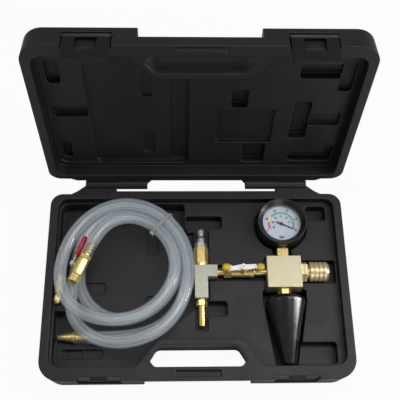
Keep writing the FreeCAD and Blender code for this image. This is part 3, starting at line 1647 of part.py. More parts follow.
def make_spare_plug():
    """The hose's own quick plug, lying on the ledge beside the coil."""
    level = rim - S.deck_drop + 0.3 + 5.5
    start, stop = Vector(-166.3, 8, 0), Vector(-169.5, -26, 0)
    along = (stop - start).normalize()
    side = Vector(along.y, -along.x, 0)
    turn = Rotation(side, along.cross(side), along, "ZXY")
    make_plug("spare_plug", (start.x, start.y, level), turn, dim(10.4))


# ---------------------------------------------------------------- build, check and write

make_base()
make_lid()
make_hinge_pins()
make_latch("latch_left", -1)
make_latch("latch_right", 1)
make_block()
make_gauge_socket()
make_gauge_case()
make_gauge_boot()
make_dial()
make_window()
make_movement()
make_sector()
make_needle()
make_bourdon()
make_cone_nipple()
make_cone()
make_coupler_body()
make_coupler_sleeve()
make_coupler_parts()
make_tee()
make_tee_parts()
make_valve()
coil = make_coil()
doc.recompute()
make_hose_tubes(coil)
make_tie()
make_nozzle()
make_hose_valve()
make_spare_plug()
doc.recompute()

ADDS = ("PartDesign::Pad", "PartDesign::Revolution")
problems = []
for thing in doc.Objects:
    if "Invalid" in thing.State or "Error" in thing.State:
        problems.append(f"{thing.Name} did not rebuild: {thing.State}")
for body in [thing for thing in doc.Objects if thing.TypeId == "PartDesign::Body"]:
    volume = 0.0
    for step in [part for part in body.Group if part.TypeId.startswith("PartDesign::")]:
        grows = step.TypeId in ADDS
        if step.TypeId in ADDS and step.Shape.Volume <= volume + 1e-6:
            problems.append(f"{step.Name} in {body.Label} adds nothing")
        if step.TypeId == "PartDesign::Pocket" and step.Shape.Volume >= volume - 1e-6:
            problems.append(f"{step.Name} in {body.Label} cuts nothing")
        volume = step.Shape.Volume

subparts = [
    thing for thing in doc.Objects if thing.TypeId in ("PartDesign::Body", "Part::Feature")
]
for thing in subparts:
    if thing.Shape.isNull() or not thing.Shape.isValid() or not thing.Shape.Solids:
        problems.append(f"{thing.Label} has no valid solid")
if problems:
    raise RuntimeError("; ".join(problems))

os.makedirs("parts", exist_ok=True)
for thing in subparts:
    thing.Shape.exportStep(os.path.join("parts", f"{thing.Label}.step"))
print(len(subparts), "sub-parts written")
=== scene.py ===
import math

import bmesh
import bpy
from bpy.props import FloatProperty, FloatVectorProperty, PointerProperty
from mathutils import Matrix, Vector


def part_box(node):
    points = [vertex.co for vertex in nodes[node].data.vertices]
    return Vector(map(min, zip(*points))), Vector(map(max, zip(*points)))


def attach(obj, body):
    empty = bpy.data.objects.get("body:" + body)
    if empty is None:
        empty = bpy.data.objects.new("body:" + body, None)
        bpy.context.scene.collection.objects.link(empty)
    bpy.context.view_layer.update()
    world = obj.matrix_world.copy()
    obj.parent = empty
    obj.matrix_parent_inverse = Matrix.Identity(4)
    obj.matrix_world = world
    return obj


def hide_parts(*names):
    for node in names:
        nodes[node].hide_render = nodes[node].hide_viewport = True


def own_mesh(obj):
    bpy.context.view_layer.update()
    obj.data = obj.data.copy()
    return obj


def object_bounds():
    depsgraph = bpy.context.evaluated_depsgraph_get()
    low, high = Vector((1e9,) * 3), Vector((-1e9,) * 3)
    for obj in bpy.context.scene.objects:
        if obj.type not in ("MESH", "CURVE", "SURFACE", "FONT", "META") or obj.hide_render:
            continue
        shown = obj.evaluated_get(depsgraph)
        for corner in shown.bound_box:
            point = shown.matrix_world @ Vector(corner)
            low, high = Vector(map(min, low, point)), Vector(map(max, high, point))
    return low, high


bl_info = {
    "name": "Cased Pressure Tester",
    "version": (1, 0, 0),
    "blender": (4, 5, 0),
    "location": "3D View > Sidebar > Tester",
    "description": "Finishes the cased pressure tester: case, fittings, gauge face, clear hose and studio",
    "category": "Object",
}

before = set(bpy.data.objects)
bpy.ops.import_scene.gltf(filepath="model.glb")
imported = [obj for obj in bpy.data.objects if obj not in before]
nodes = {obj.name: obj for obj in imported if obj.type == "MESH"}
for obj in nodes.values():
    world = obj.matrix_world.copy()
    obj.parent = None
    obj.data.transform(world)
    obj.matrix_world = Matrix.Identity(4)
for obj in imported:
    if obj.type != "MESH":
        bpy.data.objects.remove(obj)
case_low, case_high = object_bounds()
dial_low, dial_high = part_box("gauge_dial")
DIAL_CENTRE = (dial_low + dial_high) / 2
DIAL_TOP = dial_high.z

# The points of the hose, nozzle end first. Its straight lead, in metres.
LEAD = (
    (-0.1478, -0.0630, 0.0229),
    (-0.1300, -0.0632, 0.0229),
    (-0.1120, -0.0634, 0.0230),
    (-0.0950, -0.0627, 0.0231),
)
# The coil: degrees round it, then distance from its middle and height in millimetres.
COIL = (
    (-78, 70.6, 23.2), (-52, 71.4, 23.2), (-26, 70.6, 23.1), (0, 70.2, 23.3), (27, 69.5, 23.9),
    (54, 68.9, 24.6), (80, 68.4, 23.8), (106, 68.8, 23.3), (132, 69.4, 23.2), (157, 68.0, 23.3),
    (182, 65.0, 23.5), (206, 61.0, 24.2), (229, 58.0, 27.6), (250, 56.0, 31.8), (271, 53.8, 36.2),
    (293, 51.4, 39.2), (314, 51.0, 39.8), (337, 53.2, 39.7), (359, 57.0, 39.7), (381, 60.5, 39.8),
    (403, 64.6, 39.7), (425, 68.0, 39.7), (448, 69.0, 39.8), (473, 68.2, 39.6), (497, 66.6, 39.7),
    (520, 66.0, 39.7), (541, 66.4, 39.7),
)
# The run above the coil, as far as the hose valve, in metres.
RUN = (
    (-0.1522, -0.0040, 0.0397), (-0.1532, -0.0320, 0.0398), (-0.1425, -0.0550, 0.0404),
    (-0.1205, -0.0700, 0.0425), (-0.0940, -0.0765, 0.0495), (-0.0670, -0.0735, 0.0560),
    (-0.0415, -0.0612, 0.0562), (-0.0220, -0.0380, 0.0560), (-0.0112, -0.0060, 0.0560),
    (-0.0102, 0.0230, 0.0560), (-0.0180, 0.0520, 0.0560), (-0.0385, 0.0795, 0.0560),
    (-0.0680, 0.0965, 0.0560), (-0.1000, 0.0985, 0.0560), (-0.1300, 0.0850, 0.0560),
    (-0.1515, 0.0610, 0.0560), (-0.1629, 0.0330, 0.0560), (-0.1664, 0.0040, 0.0560),
    (-0.1602, -0.0200, 0.0560), (-0.1440, -0.0380, 0.0560), (-0.1190, -0.0490, 0.0560),
    (-0.0900, -0.0510, 0.0560), (-0.0620, -0.0420, 0.0560), (-0.0400, -0.0225, 0.0560),
    (-0.0265, 0.0050, 0.0560), (-0.0285, 0.0360, 0.0560), (-0.0470, 0.0650, 0.0560),
    (-0.0760, 0.0810, 0.0560), (-0.1060, 0.0765, 0.0560), (-0.12596, 0.05411, 0.0560),
    (-0.1357, 0.0300, 0.0560),
)
# The coil's front half and its rear half each turn round a middle of their own.
COIL_X, COIL_FRONT_Y, COIL_REAR_Y = -0.083, 0.009, 0.029
HOSE_ON_VALVE = RUN[-1]
USUAL_HAZE = 0.40
# The hose's wall is clearer within the first distance of a fitting's end, and as usual beyond the second.
FITTING_REACH, BEYOND_FITTING = 0.015, 0.024
# Steps that a bend of the hose's line is followed in, and corners of a drawn circle.
BEND_STEPS, ROUND_STEPS = 24, 48

# The tie: how far from its place a strand may pass, its clearance, its band and its head.
TIE_SEARCH = 0.04
TIE_GAP, TIE_THICKNESS = 0.0004, 0.0013
TIE_HEAD, TIE_HEAD_LIFT = (0.0035, 0.0055, 0.0050), 0.0015

# The power that rounds the lever's caps: 2 is a ball, and more is fuller.
CAP_FULLNESS = 2.7

# Where the dial's scale starts and how far it goes round, in degrees.
SCALE_START, SCALE_SWEEP = -25, 230
PRINT_LIFT = 0.00003
SCALE_LINE_GAP, SCALE_LINE_HALF_WIDTH = 0.0009, 0.00012
LONG_MARK_WIDTH, SHORT_MARK_WIDTH = 0.0003, 0.00018

# The camera's place, and its angles in degrees.
CAMERA_PLACE = (-0.0217, -0.26565, 0.875)
CAMERA_PITCH, CAMERA_YAW, CAMERA_ROLL = 65.7, -4.02, 3.58
# The floor lies just below the case, and the camera sees it nearly as white as paper.
FLOOR_GAP, FLOOR_GLOW = 0.0002, 0.95
# The lower strip lamp's part of the power.
LOW_STRIP_SHARE = 0.4


def colour(name, value, description):
    return FloatVectorProperty(
        name=name, description=description, subtype="COLOR", size=3, min=0, max=1, default=value
    )


def length(name, value, description):
    return FloatProperty(
        name=name, description=description, subtype="DISTANCE", unit="LENGTH", min=0, default=value
    )


def share(name, value, description):
    return FloatProperty(
        name=name, description=description, subtype="FACTOR", min=0, max=1, default=value
    )


def power(name, value, description):
    return FloatProperty(
        name=name, description=description, subtype="POWER", unit="POWER", min=0, default=value
    )


class CaseSettings(bpy.types.PropertyGroup):
    shell: colour("Shell", (0.017, 0.017, 0.018), "Colour of the moulded case")
    latch: colour("Latches", (0.008, 0.008, 0.008), "Colour of the two latch plates")
    grain: length("Grain", 0.0009, "Size of the moulded grain")
    rounding: length("Rounding", 0.0018, "Radius that the moulded edges seem to have")


class TesterSettings(bpy.types.PropertyGroup):
    block: colour("Block", (0.690, 0.625, 0.430), "Plating of the square block")
    tee: colour("Venturi block", (0.500, 0.510, 0.410), "Plating of the venturi block")
    brass: colour("Brass", (0.900, 0.700, 0.270), "Machined brass")
    coupler: colour("Coupler", (0.960, 0.830, 0.520), "The quick coupler's paler brass")
    groove: length("Coupler grooves", 0.0058, "Distance between the rings turned on the coupler")
    steel: colour("Steel", (0.560, 0.560, 0.580), "Plated steel")
    rubber: colour("Rubber", (0.010, 0.010, 0.011), "The cone's rubber")
    caps: colour("Lever caps", (0.930, 0.620, 0.015), "Dipped vinyl on the small lever")
    cap_length: length("Cap length", 0.0096, "Length of each dipped tip of the small lever")
    grip: colour("Lever grip", (0.640, 0.015, 0.040), "Dipped vinyl on the hose valve's lever")
    seats: colour("Seats", (0.800, 0.800, 0.770), "The plastic seats in both valves")
    tool_mark: length("Tool marks", 0.00035, "Distance between tool marks")


class DialSettings(bpy.types.PropertyGroup):
    face: colour("Face", (0.430, 0.455, 0.545), "The dial's enamel")
    ink: colour("Ink", (0.012, 0.012, 0.015), "Figures, marks and pointer")
    high: colour("High band", (0.030, 0.330, 0.080), "The long band of the scale")
    middle: colour("Middle band", (0.780, 0.620, 0.020), "The short band of the scale")
    low: colour("Low band", (0.600, 0.020, 0.050), "The last band of the scale")
    band_inner: length("Band inside", 0.0149, "Inner radius of the coloured band")
    band_outer: length("Band outside", 0.0167, "Outer radius of the coloured band")
    figures: length("Figures", 0.0046, "Height of the outer figures")
    figure_ring: length("Figure ring", 0.0200, "Radius that the outer figures stand on")
    inner_ring: length("Inner ring", 0.0104, "Radius that the inner figures stand on")
    word_drop: length("Word drop", 0.0175, "How far the unit stands below the dial's middle")


class HoseSettings(bpy.types.PropertyGroup):
    tint: colour("Tint", (0.540, 0.580, 0.650), "The clear hose's tint")
    tie: colour("Tie", (0.360, 0.420, 0.360), "The nylon tie")
    diameter: length("Diameter", 0.0152, "Outside diameter of the hose")
    tie_width: length("Tie width", 0.0030, "Width of the nylon tie's band")
    bore: length("Bore", 0.0099, "Inside diameter of the hose")
    along: length("Length", 1.73, "Length of the whole hose")
    haze: share("Haze", USUAL_HAZE, "How much of the light one wall of the hose stops")


class StudioSettings(bpy.types.PropertyGroup):
    floor: colour("Floor", (0.92, 0.92, 0.92), "Colour of the floor")
    ambient: share("Ambient", 0.20, "Light from all round")
    mirrored: share("Mirrored room", 0.24, "How bright polished pieces see the room")
    key: power("Key lamp", 4.6, "Power of the large lamp at the right")
    fill: power("Fill lamp", 1.6, "Power of the soft lamp at the left")
    front: power("Front lamp", 2.2, "Power of the soft lamp in front, which lights the open lid")
    top: power("Top lamp", 2.5, "Power of the lamp overhead")
    strip: power("Strip lamps", 3.6, "Power of the two narrow lamps at the right")
    lens: FloatProperty(name="Lens", description="Focal length", unit="CAMERA", min=10, default=64.0)


class KitSettings(bpy.types.PropertyGroup):
    case: PointerProperty(type=CaseSettings)
    tester: PointerProperty(type=TesterSettings)
    dial: PointerProperty(type=DialSettings)
    hose: PointerProperty(type=HoseSettings)
    studio: PointerProperty(type=StudioSettings)


# ------------------------------------------------------------------ node trees

def put(tree, kind, settings=(), **sockets):
    """Adds a node. settings are its own properties; sockets are values or outputs for its inputs."""
    node = tree.nodes.new(kind)
    for name, value in dict(settings).items():
        setattr(node, name, value)
    for name, value in sockets.items():
        join(tree, node.inputs[name.replace("_", " ")], value)
    return node


def join(tree, socket, value):
    """Sets a socket to a value, or links an output to it."""
    if isinstance(value, bpy.types.NodeSocket):
        tree.links.new(value, socket)
    elif hasattr(value, "__len__") and len(value) == 3 and socket.type == "RGBA":
        socket.default_value = (*value, 1)
    else:
        socket.default_value = value


def calculate(tree, operation, first, second=0.0, clamp=False):
    node = tree.nodes.new("ShaderNodeMath")
    node.operation, node.use_clamp = operation, clamp
    join(tree, node.inputs[0], first)
    join(tree, node.inputs[1], second)
    return node.outputs[0]


def blend_colours(tree, factor, first, second):
    node = tree.nodes.new("ShaderNodeMix")
    node.data_type = "RGBA"
    join(tree, node.inputs["Factor"], factor)
    join(tree, node.inputs[6], first)
    join(tree, node.inputs[7], second)
    return node.outputs[2]


def spread(tree, value, low, high, to_low=0.0, to_high=1.0):
    """Stretches a range of values over another range, and holds what lies outside at its ends."""
    node = put(
        tree, "ShaderNodeMapRange", {"clamp": True},
        Value=value, From_Min=low, From_Max=high, To_Min=to_low, To_Max=to_high,
    )
    return node.outputs["Result"]


def stops(tree, value, *marks):
    """A grey ramp through (place, brightness) marks."""
    node = put(tree, "ShaderNodeValToRGB", Fac=value)
    ramp = node.color_ramp
    while len(ramp.elements) < len(marks):
        ramp.elements.new(0.5)
    for element, (place, brightness) in zip(ramp.elements, marks):
        element.position = place
        element.color = (brightness, brightness, brightness, 1)
    return node.outputs["Color"]


def effect(name, inputs, outputs):
    """An empty node group. Its sockets are numbers, or a vector for a normal."""
    group = bpy.data.node_groups.new(name, "ShaderNodeTree")
    for label, value in inputs.items():
        socket = group.interface.new_socket(label, in_out="INPUT", socket_type="NodeSocketFloat")
        socket.default_value = value
    for label in outputs:
        kind = "NodeSocketVector" if label == "Normal" else "NodeSocketFloat"
        group.interface.new_socket(label, in_out="OUTPUT", socket_type=kind)
    return group, group.nodes.new("NodeGroupInput"), group.nodes.new("NodeGroupOutput")


def place(tree, group, **sockets):
    """Adds an effect to a tree."""
    return put(tree, "ShaderNodeGroup", {"node_tree": group}, **sockets)


def cloud(tree, where, size, detail, roughness):
    """Soft noise whose patches have about this size."""
    return put(
        tree, "ShaderNodeTexNoise", Vector=where,
        Scale=calculate(tree, "DIVIDE", 1.0, size), Detail=detail, Roughness=roughness,
    ).outputs["Fac"]


def own_coordinates(tree):
    return tree.nodes.new("ShaderNodeTexCoord").outputs["Object"]


def make_grain_effect():
    """Moulded grain: a pebbled height, and a slow mottle for colour and gloss."""
    group, given, result = effect("Moulded Grain", {"Size": 0.001, "Mottle Size": 0.06}, ("Height", "Mottle"))
    where = own_coordinates(group)
    pebbles = put(
        group, "ShaderNodeTexVoronoi", {"feature": "SMOOTH_F1"}, Vector=where,
        Scale=calculate(group, "DIVIDE", 1.0, given.outputs["Size"]), Smoothness=0.6,
    )
    fine = put(
        group, "ShaderNodeTexNoise", Vector=where,
        Scale=calculate(group, "DIVIDE", 2.3, given.outputs["Size"]), Detail=2.0,
    )
    fine_height = calculate(group, "MULTIPLY", fine.outputs["Fac"], 0.4)
    total = calculate(group, "ADD", pebbles.outputs["Distance"], fine_height)
    group.links.new(total, result.inputs["Height"])
    group.links.new(cloud(group, where, given.outputs["Mottle Size"], 4.0, 0.6), result.inputs["Mottle"])
    return group


def make_edge_effect():
    """Rounded edges: the normal of a small rounding, and a mask of where it bends."""
    group, given, result = effect("Rounded Edges", {"Radius": 0.001}, ("Normal", "Edge"))
    rounded = put(group, "ShaderNodeBevel", {"samples": 6}, Radius=given.outputs["Radius"])
    plain = group.nodes.new("ShaderNodeNewGeometry")
    dot = put(group, "ShaderNodeVectorMath", {"operation": "DOT_PRODUCT"})
    group.links.new(rounded.outputs["Normal"], dot.inputs[0])
    group.links.new(plain.outputs["Normal"], dot.inputs[1])
    edge = spread(group, dot.outputs["Value"], 1.0, 0.86)
    group.links.new(rounded.outputs["Normal"], result.inputs["Normal"])
    group.links.new(edge, result.inputs["Edge"])
    return group


def make_handling_effect():
    """Handling: smudges that dull a finish, and fine scratches."""
    group, given, result = effect("Handling", {"Smudge Size": 0.02, "Scratches": 0.2}, ("Smudge", "Scratch"))
    where = own_coordinates(group)
    turned = put(
        group, "ShaderNodeMapping", Vector=where, Rotation=(0.3, 0.2, 0.7), Scale=(900.0, 40.0, 700.0)
    )
    lines = put(group, "ShaderNodeTexNoise", Vector=turned.outputs["Vector"], Scale=1.0, Detail=1.0)
    picked = spread(group, lines.outputs["Fac"], 0.66, 0.72)
    scratch = calculate(group, "MULTIPLY", picked, given.outputs["Scratches"])
    group.links.new(cloud(group, where, given.outputs["Smudge Size"], 5.0, 0.65), result.inputs["Smudge"])
    group.links.new(scratch, result.inputs["Scratch"])
    return group


def make_turning_effect():
    """Tool marks: the fine unevenness that cutting leaves, and slight staining."""
    group, given, result = effect(
        "Turning Marks", {"Pitch": 0.0004, "Stain Size": 0.006}, ("Height", "Stain")
    )
    where = own_coordinates(group)
    marks = put(
        group, "ShaderNodeTexNoise", Vector=where,
        Scale=calculate(group, "DIVIDE", 1.0, given.outputs["Pitch"]), Detail=2.0,
    )
    group.links.new(marks.outputs["Fac"], result.inputs["Height"])
    group.links.new(cloud(group, where, given.outputs["Stain Size"], 4.0, 0.6), result.inputs["Stain"])
    return group


def make_painted_hollow_shade():
    """Painted shade in hollows: a mask for darkening a colour, which falls where the walls stand close."""
    group, given, result = effect("Painted Hollow Shade", {"Reach": 0.03, "Depth": 0.5}, ("Shade",))
    closed = put(group, "ShaderNodeAmbientOcclusion", {"samples": 6}, Distance=given.outputs["Reach"])
    lost = calculate(group, "SUBTRACT", 1.0, spread(group, closed.outputs["AO"], 0.25, 0.85))
    darkened = calculate(group, "MULTIPLY", lost, given.outputs["Depth"])
    shade = calculate(group, "SUBTRACT", 1.0, darkened, clamp=True)
    group.links.new(shade, result.inputs["Shade"])
    return group


EFFECTS = {
    "Moulded Grain": make_grain_effect,
    "Rounded Edges": make_edge_effect,
    "Handling": make_handling_effect,
    "Turning Marks": make_turning_effect,
    "Painted Hollow Shade": make_painted_hollow_shade,
}


def effects():
    """The effects that finishes share, each made once."""
    return {name: bpy.data.node_groups.get(name) or maker() for name, maker in EFFECTS.items()}


# ------------------------------------------------------------------ finishes

def times(base, factor):
    """A colour multiplied by a number, or each of its parts by a number of its own."""
    factors = factor if hasattr(factor, "__len__") else (factor,) * len(base)
    return tuple(part * each for part, each in zip(base, factors))


def lighter(base, factor, lift=0.0, most=1.0):
    """A colour made lighter, with no part of it past a limit."""
    return tuple(min(part + lift, most) for part in times(base, factor))


def mottled(tree, surface, dark, light):
    """A colour that wanders slowly between two."""
    return blend_colours(tree, spread(tree, surface.outputs["Mottle"], 0.3, 0.7), dark, light)


def finish(name):
    """A new material. Returns (material, its tree, its Principled shader)."""
    made = bpy.data.materials.new(name)
    made.use_nodes = True
    tree = made.node_tree
    shader = next(node for node in tree.nodes if node.type == "BSDF_PRINCIPLED")
    return made, tree, shader


def dress(material, *names):
    """Gives a finish to CAD nodes."""
    for name in names:
        node = nodes[name]
        if not node.material_slots:
            node.data.materials.append(material)
        for slot in node.material_slots:
            slot.material = material


def relief(tree, shader, height, depth, normal=None, strength=1.0):
    """Raises a finish by a height, over its rounded edges where it has them."""
    node = put(tree, "ShaderNodeBump", Height=height, Distance=depth, Strength=strength)
    if normal is not None:
        tree.links.new(normal, node.inputs["Normal"])
    tree.links.new(node.outputs["Normal"], shader.inputs["Normal"])


def moulded(name, base, grain, rounding, roughness, depth, stain_and_edge_highlight):
    """Moulded plastic with grain, soft edges and light handling, with painted shade in its hollows and
    painted highlights along its edges.
    """
    made, tree, shader = finish(name)
    shared = effects()
    surface = place(tree, shared["Moulded Grain"], Size=grain, Mottle_Size=0.045)
    edges = place(tree, shared["Rounded Edges"], Radius=rounding)
    handled = place(tree, shared["Handling"], Smudge_Size=0.03, Scratches=0.12)
    hollow_shade = place(tree, shared["Painted Hollow Shade"], Reach=0.020, Depth=0.72)
    skin = mottled(tree, surface, times(base, 0.86), times(base, 1.14))
    # Painted shade: the colour is darkened where the walls stand close.
    shaded = blend_colours(tree, hollow_shade.outputs["Shade"], times(base, 0.1), skin)
    # Painted highlight: the rounded edges are lightened towards a paler colour.
    painted_edge_highlight = calculate(tree, "MULTIPLY", edges.outputs["Edge"], stain_and_edge_highlight)
    highlight_colour = lighter(base, 2.2, lift=0.01)
    join(tree, shader.inputs["Base Color"], blend_colours(tree, painted_edge_highlight, shaded, highlight_colour))
    smudged = spread(tree, handled.outputs["Smudge"], 0.35, 0.7, roughness - 0.05, roughness + 0.07)
    scratched = calculate(tree, "ADD", smudged, handled.outputs["Scratch"], clamp=True)
    join(tree, shader.inputs["Roughness"], scratched)
    shader.inputs["Specular IOR Level"].default_value = 0.34
    relief(tree, shader, surface.outputs["Height"], depth, edges.outputs["Normal"])
    return made


def machined(name, base, roughness, rounding, pitch, depth, stained, metal):
    """Machined or plated metal with tool marks, soft edges with painted highlights, and slight staining."""
    made, tree, shader = finish(name)
    shared = effects()
    marks = place(tree, shared["Turning Marks"], Pitch=pitch, Stain_Size=0.005)
    edges = place(tree, shared["Rounded Edges"], Radius=rounding)
    amount = calculate(tree, "MULTIPLY", spread(tree, marks.outputs["Stain"], 0.42, 0.72), stained)
    stain_and_edge_highlight = blend_colours(tree, amount, base, times(base, (0.80, 0.74, 0.66)))
    # Painted highlight: the rounded edges are lightened.
    painted_edge_highlight = calculate(tree, "MULTIPLY", edges.outputs["Edge"], 0.5)
    painted_highlight = lighter(base, 1.1, lift=0.03)
    join(tree, shader.inputs["Base Color"], blend_colours(tree, painted_edge_highlight, stain_and_edge_highlight, painted_highlight))
    shader.inputs["Metallic"].default_value = metal
    dulled = spread(tree, marks.outputs["Stain"], 0.3, 0.75, roughness - 0.04, roughness + 0.1)
    join(tree, shader.inputs["Roughness"], dulled)
    relief(tree, shader, marks.outputs["Height"], depth, edges.outputs["Normal"], strength=0.35)
    return made


def dipped(name, base, roughness, uneven=0.00004):
    """Soft vinyl or rubber with a skin that is not quite even."""
    made, tree, shader = finish(name)
    shared = effects()
    surface = place(tree, shared["Moulded Grain"], Size=0.004, Mottle_Size=0.012)
    edges = place(tree, shared["Rounded Edges"], Radius=0.0006)
    join(tree, shader.inputs["Base Color"], mottled(tree, surface, times(base, 0.84), base))
    patchy = spread(tree, surface.outputs["Mottle"], 0.3, 0.7, roughness - 0.04, roughness + 0.06)
    join(tree, shader.inputs["Roughness"], patchy)
    shader.inputs["Coat Weight"].default_value = 0.25
    shader.inputs["Coat Roughness"].default_value = 0.12
    relief(tree, shader, surface.outputs["Height"], uneven, edges.outputs["Normal"])
    return made


def printed(name, base):
    """Printing ink, slightly uneven."""
    made, tree, shader = finish(name)
    surface = place(tree, effects()["Moulded Grain"], Mottle_Size=0.002)
    join(tree, shader.inputs["Base Color"], mottled(tree, surface, times(base, 0.9), base))
    shader.inputs["Roughness"].default_value = 0.55
    return made


def mix_over(tree, shader, cover, amount):
    """Mixes a second shader over a finish."""
    output = next(node for node in tree.nodes if node.type == "OUTPUT_MATERIAL")
    mix = tree.nodes.new("ShaderNodeMixShader")
    join(tree, mix.inputs["Fac"], amount)
    tree.links.new(shader.outputs["BSDF"], mix.inputs[1])
    tree.links.new(cover, mix.inputs[2])
    tree.links.new(mix.outputs["Shader"], output.inputs["Surface"])


def let_lamps_through(tree, shader, amount):
    """Shadows of a clear piece are faint."""
    path = tree.nodes.new("ShaderNodeLightPath")
    clear = tree.nodes.new("ShaderNodeBsdfTransparent")
    shadow = calculate(tree, "MULTIPLY", path.outputs["Is Shadow Ray"], amount)
    mix_over(tree, shader, clear.outputs["BSDF"], shadow)


def make_hose_finish(hose):
    """Clear vinyl: thin in the middle of the tube and thick along its edges and at its bore's edge, where
    painted highlight lines make its colour pale.
    """
    made, tree, shader = finish("clear_hose")
    surface = place(tree, effects()["Moulded Grain"], Size=0.03, Mottle_Size=0.02)
    facing = put(tree, "ShaderNodeLayerWeight", Blend=0.5).outputs["Facing"]
    wall = stops(
        tree, facing, (0.0, 0.46), (0.12, 0.40), (0.21, 0.36), (0.28, 0.52),
        (0.38, 0.43), (0.62, 0.45), (0.85, 0.78), (1.0, 1.0),
    )
    # Painted highlight lines: this ramp lightens the colour at the bore's edge and along the tube's edges.
    painted_highlight = stops(
        tree, facing, (0.0, 0.30), (0.12, 0.05), (0.20, 0.05), (0.28, 0.75),
        (0.38, 0.15), (0.62, 0.12), (0.85, 0.50), (1.0, 0.95),
    )
    cloudy = mottled(tree, surface, times(hose.tint, 0.90), hose.tint)
    violet = times(hose.tint, (0.95, 0.95, 1.35))
    highlight_colour = lighter(hose.tint, (1.50, 1.62, 1.30), most=0.95)
    edged = blend_colours(tree, spread(tree, facing, 0.42, 0.66), cloudy, violet)
    join(tree, shader.inputs["Base Color"], blend_colours(tree, painted_highlight, edged, highlight_colour))
    body = calculate(tree, "MULTIPLY", wall, hose.haze / USUAL_HAZE)
    for fitting in (HOSE_ON_VALVE, LEAD[0]):
        # A fitting shows clearly through the wall that is pushed over it.
        apart = put(tree, "ShaderNodeVectorMath", {"operation": "DISTANCE"})
        tree.links.new(own_coordinates(tree), apart.inputs[0])
        apart.inputs[1].default_value = fitting
        thinned = spread(tree, apart.outputs["Value"], FITTING_REACH, BEYOND_FITTING, 0.4, 1.0)
        body = calculate(tree, "MULTIPLY", body, thinned)
    join(tree, shader.inputs["Alpha"], calculate(tree, "MULTIPLY", body, 1.0, clamp=True))
    join(tree, shader.inputs["Roughness"], spread(tree, surface.outputs["Mottle"], 0.3, 0.7, 0.18, 0.28))
    shader.inputs["Coat Weight"].default_value = 1.0
    shader.inputs["Coat Roughness"].default_value = 0.11
    shader.inputs["IOR"].default_value = 1.5
    relief(tree, shader, surface.outputs["Height"], depth=0.00003)
    let_lamps_through(tree, shader, 0.7)
    return made


# ------------------------------------------------------------------ pieces

def new_piece(name, data, body):
    """Links a new piece and rides it on a body."""
    piece = bpy.data.objects.new(name, data)
    bpy.context.scene.collection.objects.link(piece)
    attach(piece, body)
    return piece


def cord_curve(name, points, radius):
    """A curve whose one spline has these points as its control points."""
    curve = bpy.data.curves.new(name, "CURVE")
    curve.dimensions = "3D"
    curve.resolution_u = 12
    curve.bevel_depth = radius
    curve.bevel_resolution = 8
    spline = curve.splines.new("NURBS")
    spline.points.add(len(points) - 1)
    for point, spot in zip(spline.points, points):
        point.co = (*spot, 1)
    spline.order_u = 3
    spline.use_endpoint_u = True
    return curve


def coil_points():
    """The coil's turns as points, wound on a ring that is longer from front to back."""
    points = []
    for angle, radius, height in COIL:
        turn = math.radians(angle)
        middle = COIL_REAR_Y if math.sin(turn) > 0 else COIL_FRONT_Y
        points.append((
            COIL_X + radius / 1000 * math.cos(turn),
            middle + radius / 1000 * math.sin(turn),
            height / 1000,
        ))
    return points


def strands_at(points, middle, out, along):
    """Where the hose's line crosses an upright plane: places measured outward and upward."""
    found, last_side = [], None
    for before, at, after in zip(points, points[1:], points[2:]):
        for step in range(BEND_STEPS):
            t = step / BEND_STEPS
            spot = (
                Vector(before) * (0.5 * (1 - t) ** 2)
                + Vector(at) * (0.5 + t - t * t)
                + Vector(after) * (0.5 * t * t)
            )
            side, reach = (spot - middle).dot(along), (spot - middle).dot(out)
            if last_side is not None and last_side * side <= 0 and abs(reach) < TIE_SEARCH:
                found.append(Vector((reach, spot.z)))
            last_side = side
    return found


def outline_round(around):
    """The outermost of some (place, outward way) pairs, in order round them."""
    rest = sorted(around, key=lambda pair: (pair[0].x, pair[0].y))
    halves = []
    for ordered in (rest, rest[::-1]):
        chain = []
        for pair in ordered:
            while len(chain) > 1:
                first, second = chain[-1][0] - chain[-2][0], pair[0] - chain[-1][0]
                if first.x * second.y - first.y * second.x > 0:
                    break
                chain.pop()
            chain.append(pair)
        halves += chain[:-1]
    return halves


def ways_round():
    """Even steps round a circle, each as its x and y."""
    turns = [step * math.tau / ROUND_STEPS for step in range(ROUND_STEPS)]
    return [(math.cos(turn), math.sin(turn)) for turn in turns]


def end_ring(shape, centre, along, outer, inner):
    """The cut face at a hose's end."""
    turn = Vector((0, 0, 1)).rotation_difference(Vector(along)).to_matrix().to_4x4()
    move = Matrix.Translation(Vector(centre)) @ turn
    rim, bore = (
        [shape.verts.new(move @ Vector((radius * x, radius * y, 0))) for x, y in ways_round()]
        for radius in (outer, inner)
    )
    for k in range(ROUND_STEPS):
        after = (k + 1) % ROUND_STEPS
        shape.faces.new((rim[k], rim[after], bore[after], bore[k]))


def scale_angle(share_of_scale):
    """The place of a share of the dial's scale, in degrees."""
    return SCALE_START + SCALE_SWEEP * share_of_scale


def ring_part(shape, inner, outer, start, stop, level, index):
    """A flat part of a ring on the dial, from one angle to another."""
    degrees_each = 3
    steps = max(2, int(abs(stop - start) / degrees_each))
    rows = []
    for k in range(steps + 1):
        angle = math.radians(start + (stop - start) * k / steps)
        rows.append([
            shape.verts.new((
                DIAL_CENTRE.x + radius * math.cos(angle), DIAL_CENTRE.y + radius * math.sin(angle), level,
            ))
            for radius in (inner, outer)
        ])
    for (a, b), (c, d) in zip(rows, rows[1:]):
        face = shape.faces.new((a, b, d, c))
        face.material_index = index


def dial_bar(shape, inner, outer, angle, width, level):
    """A straight mark pointing at the dial's middle."""
    along = Vector((math.cos(math.radians(angle)), math.sin(math.radians(angle)), 0))
    across = Vector((-along.y, along.x, 0)) * width / 2
    middle = Vector((DIAL_CENTRE.x, DIAL_CENTRE.y, level))
    corners = (
        middle + along * inner - across, middle + along * outer - across,
        middle + along * outer + across, middle + along * inner + across,
    )
    shape.faces.new([shape.verts.new(corner) for corner in corners])


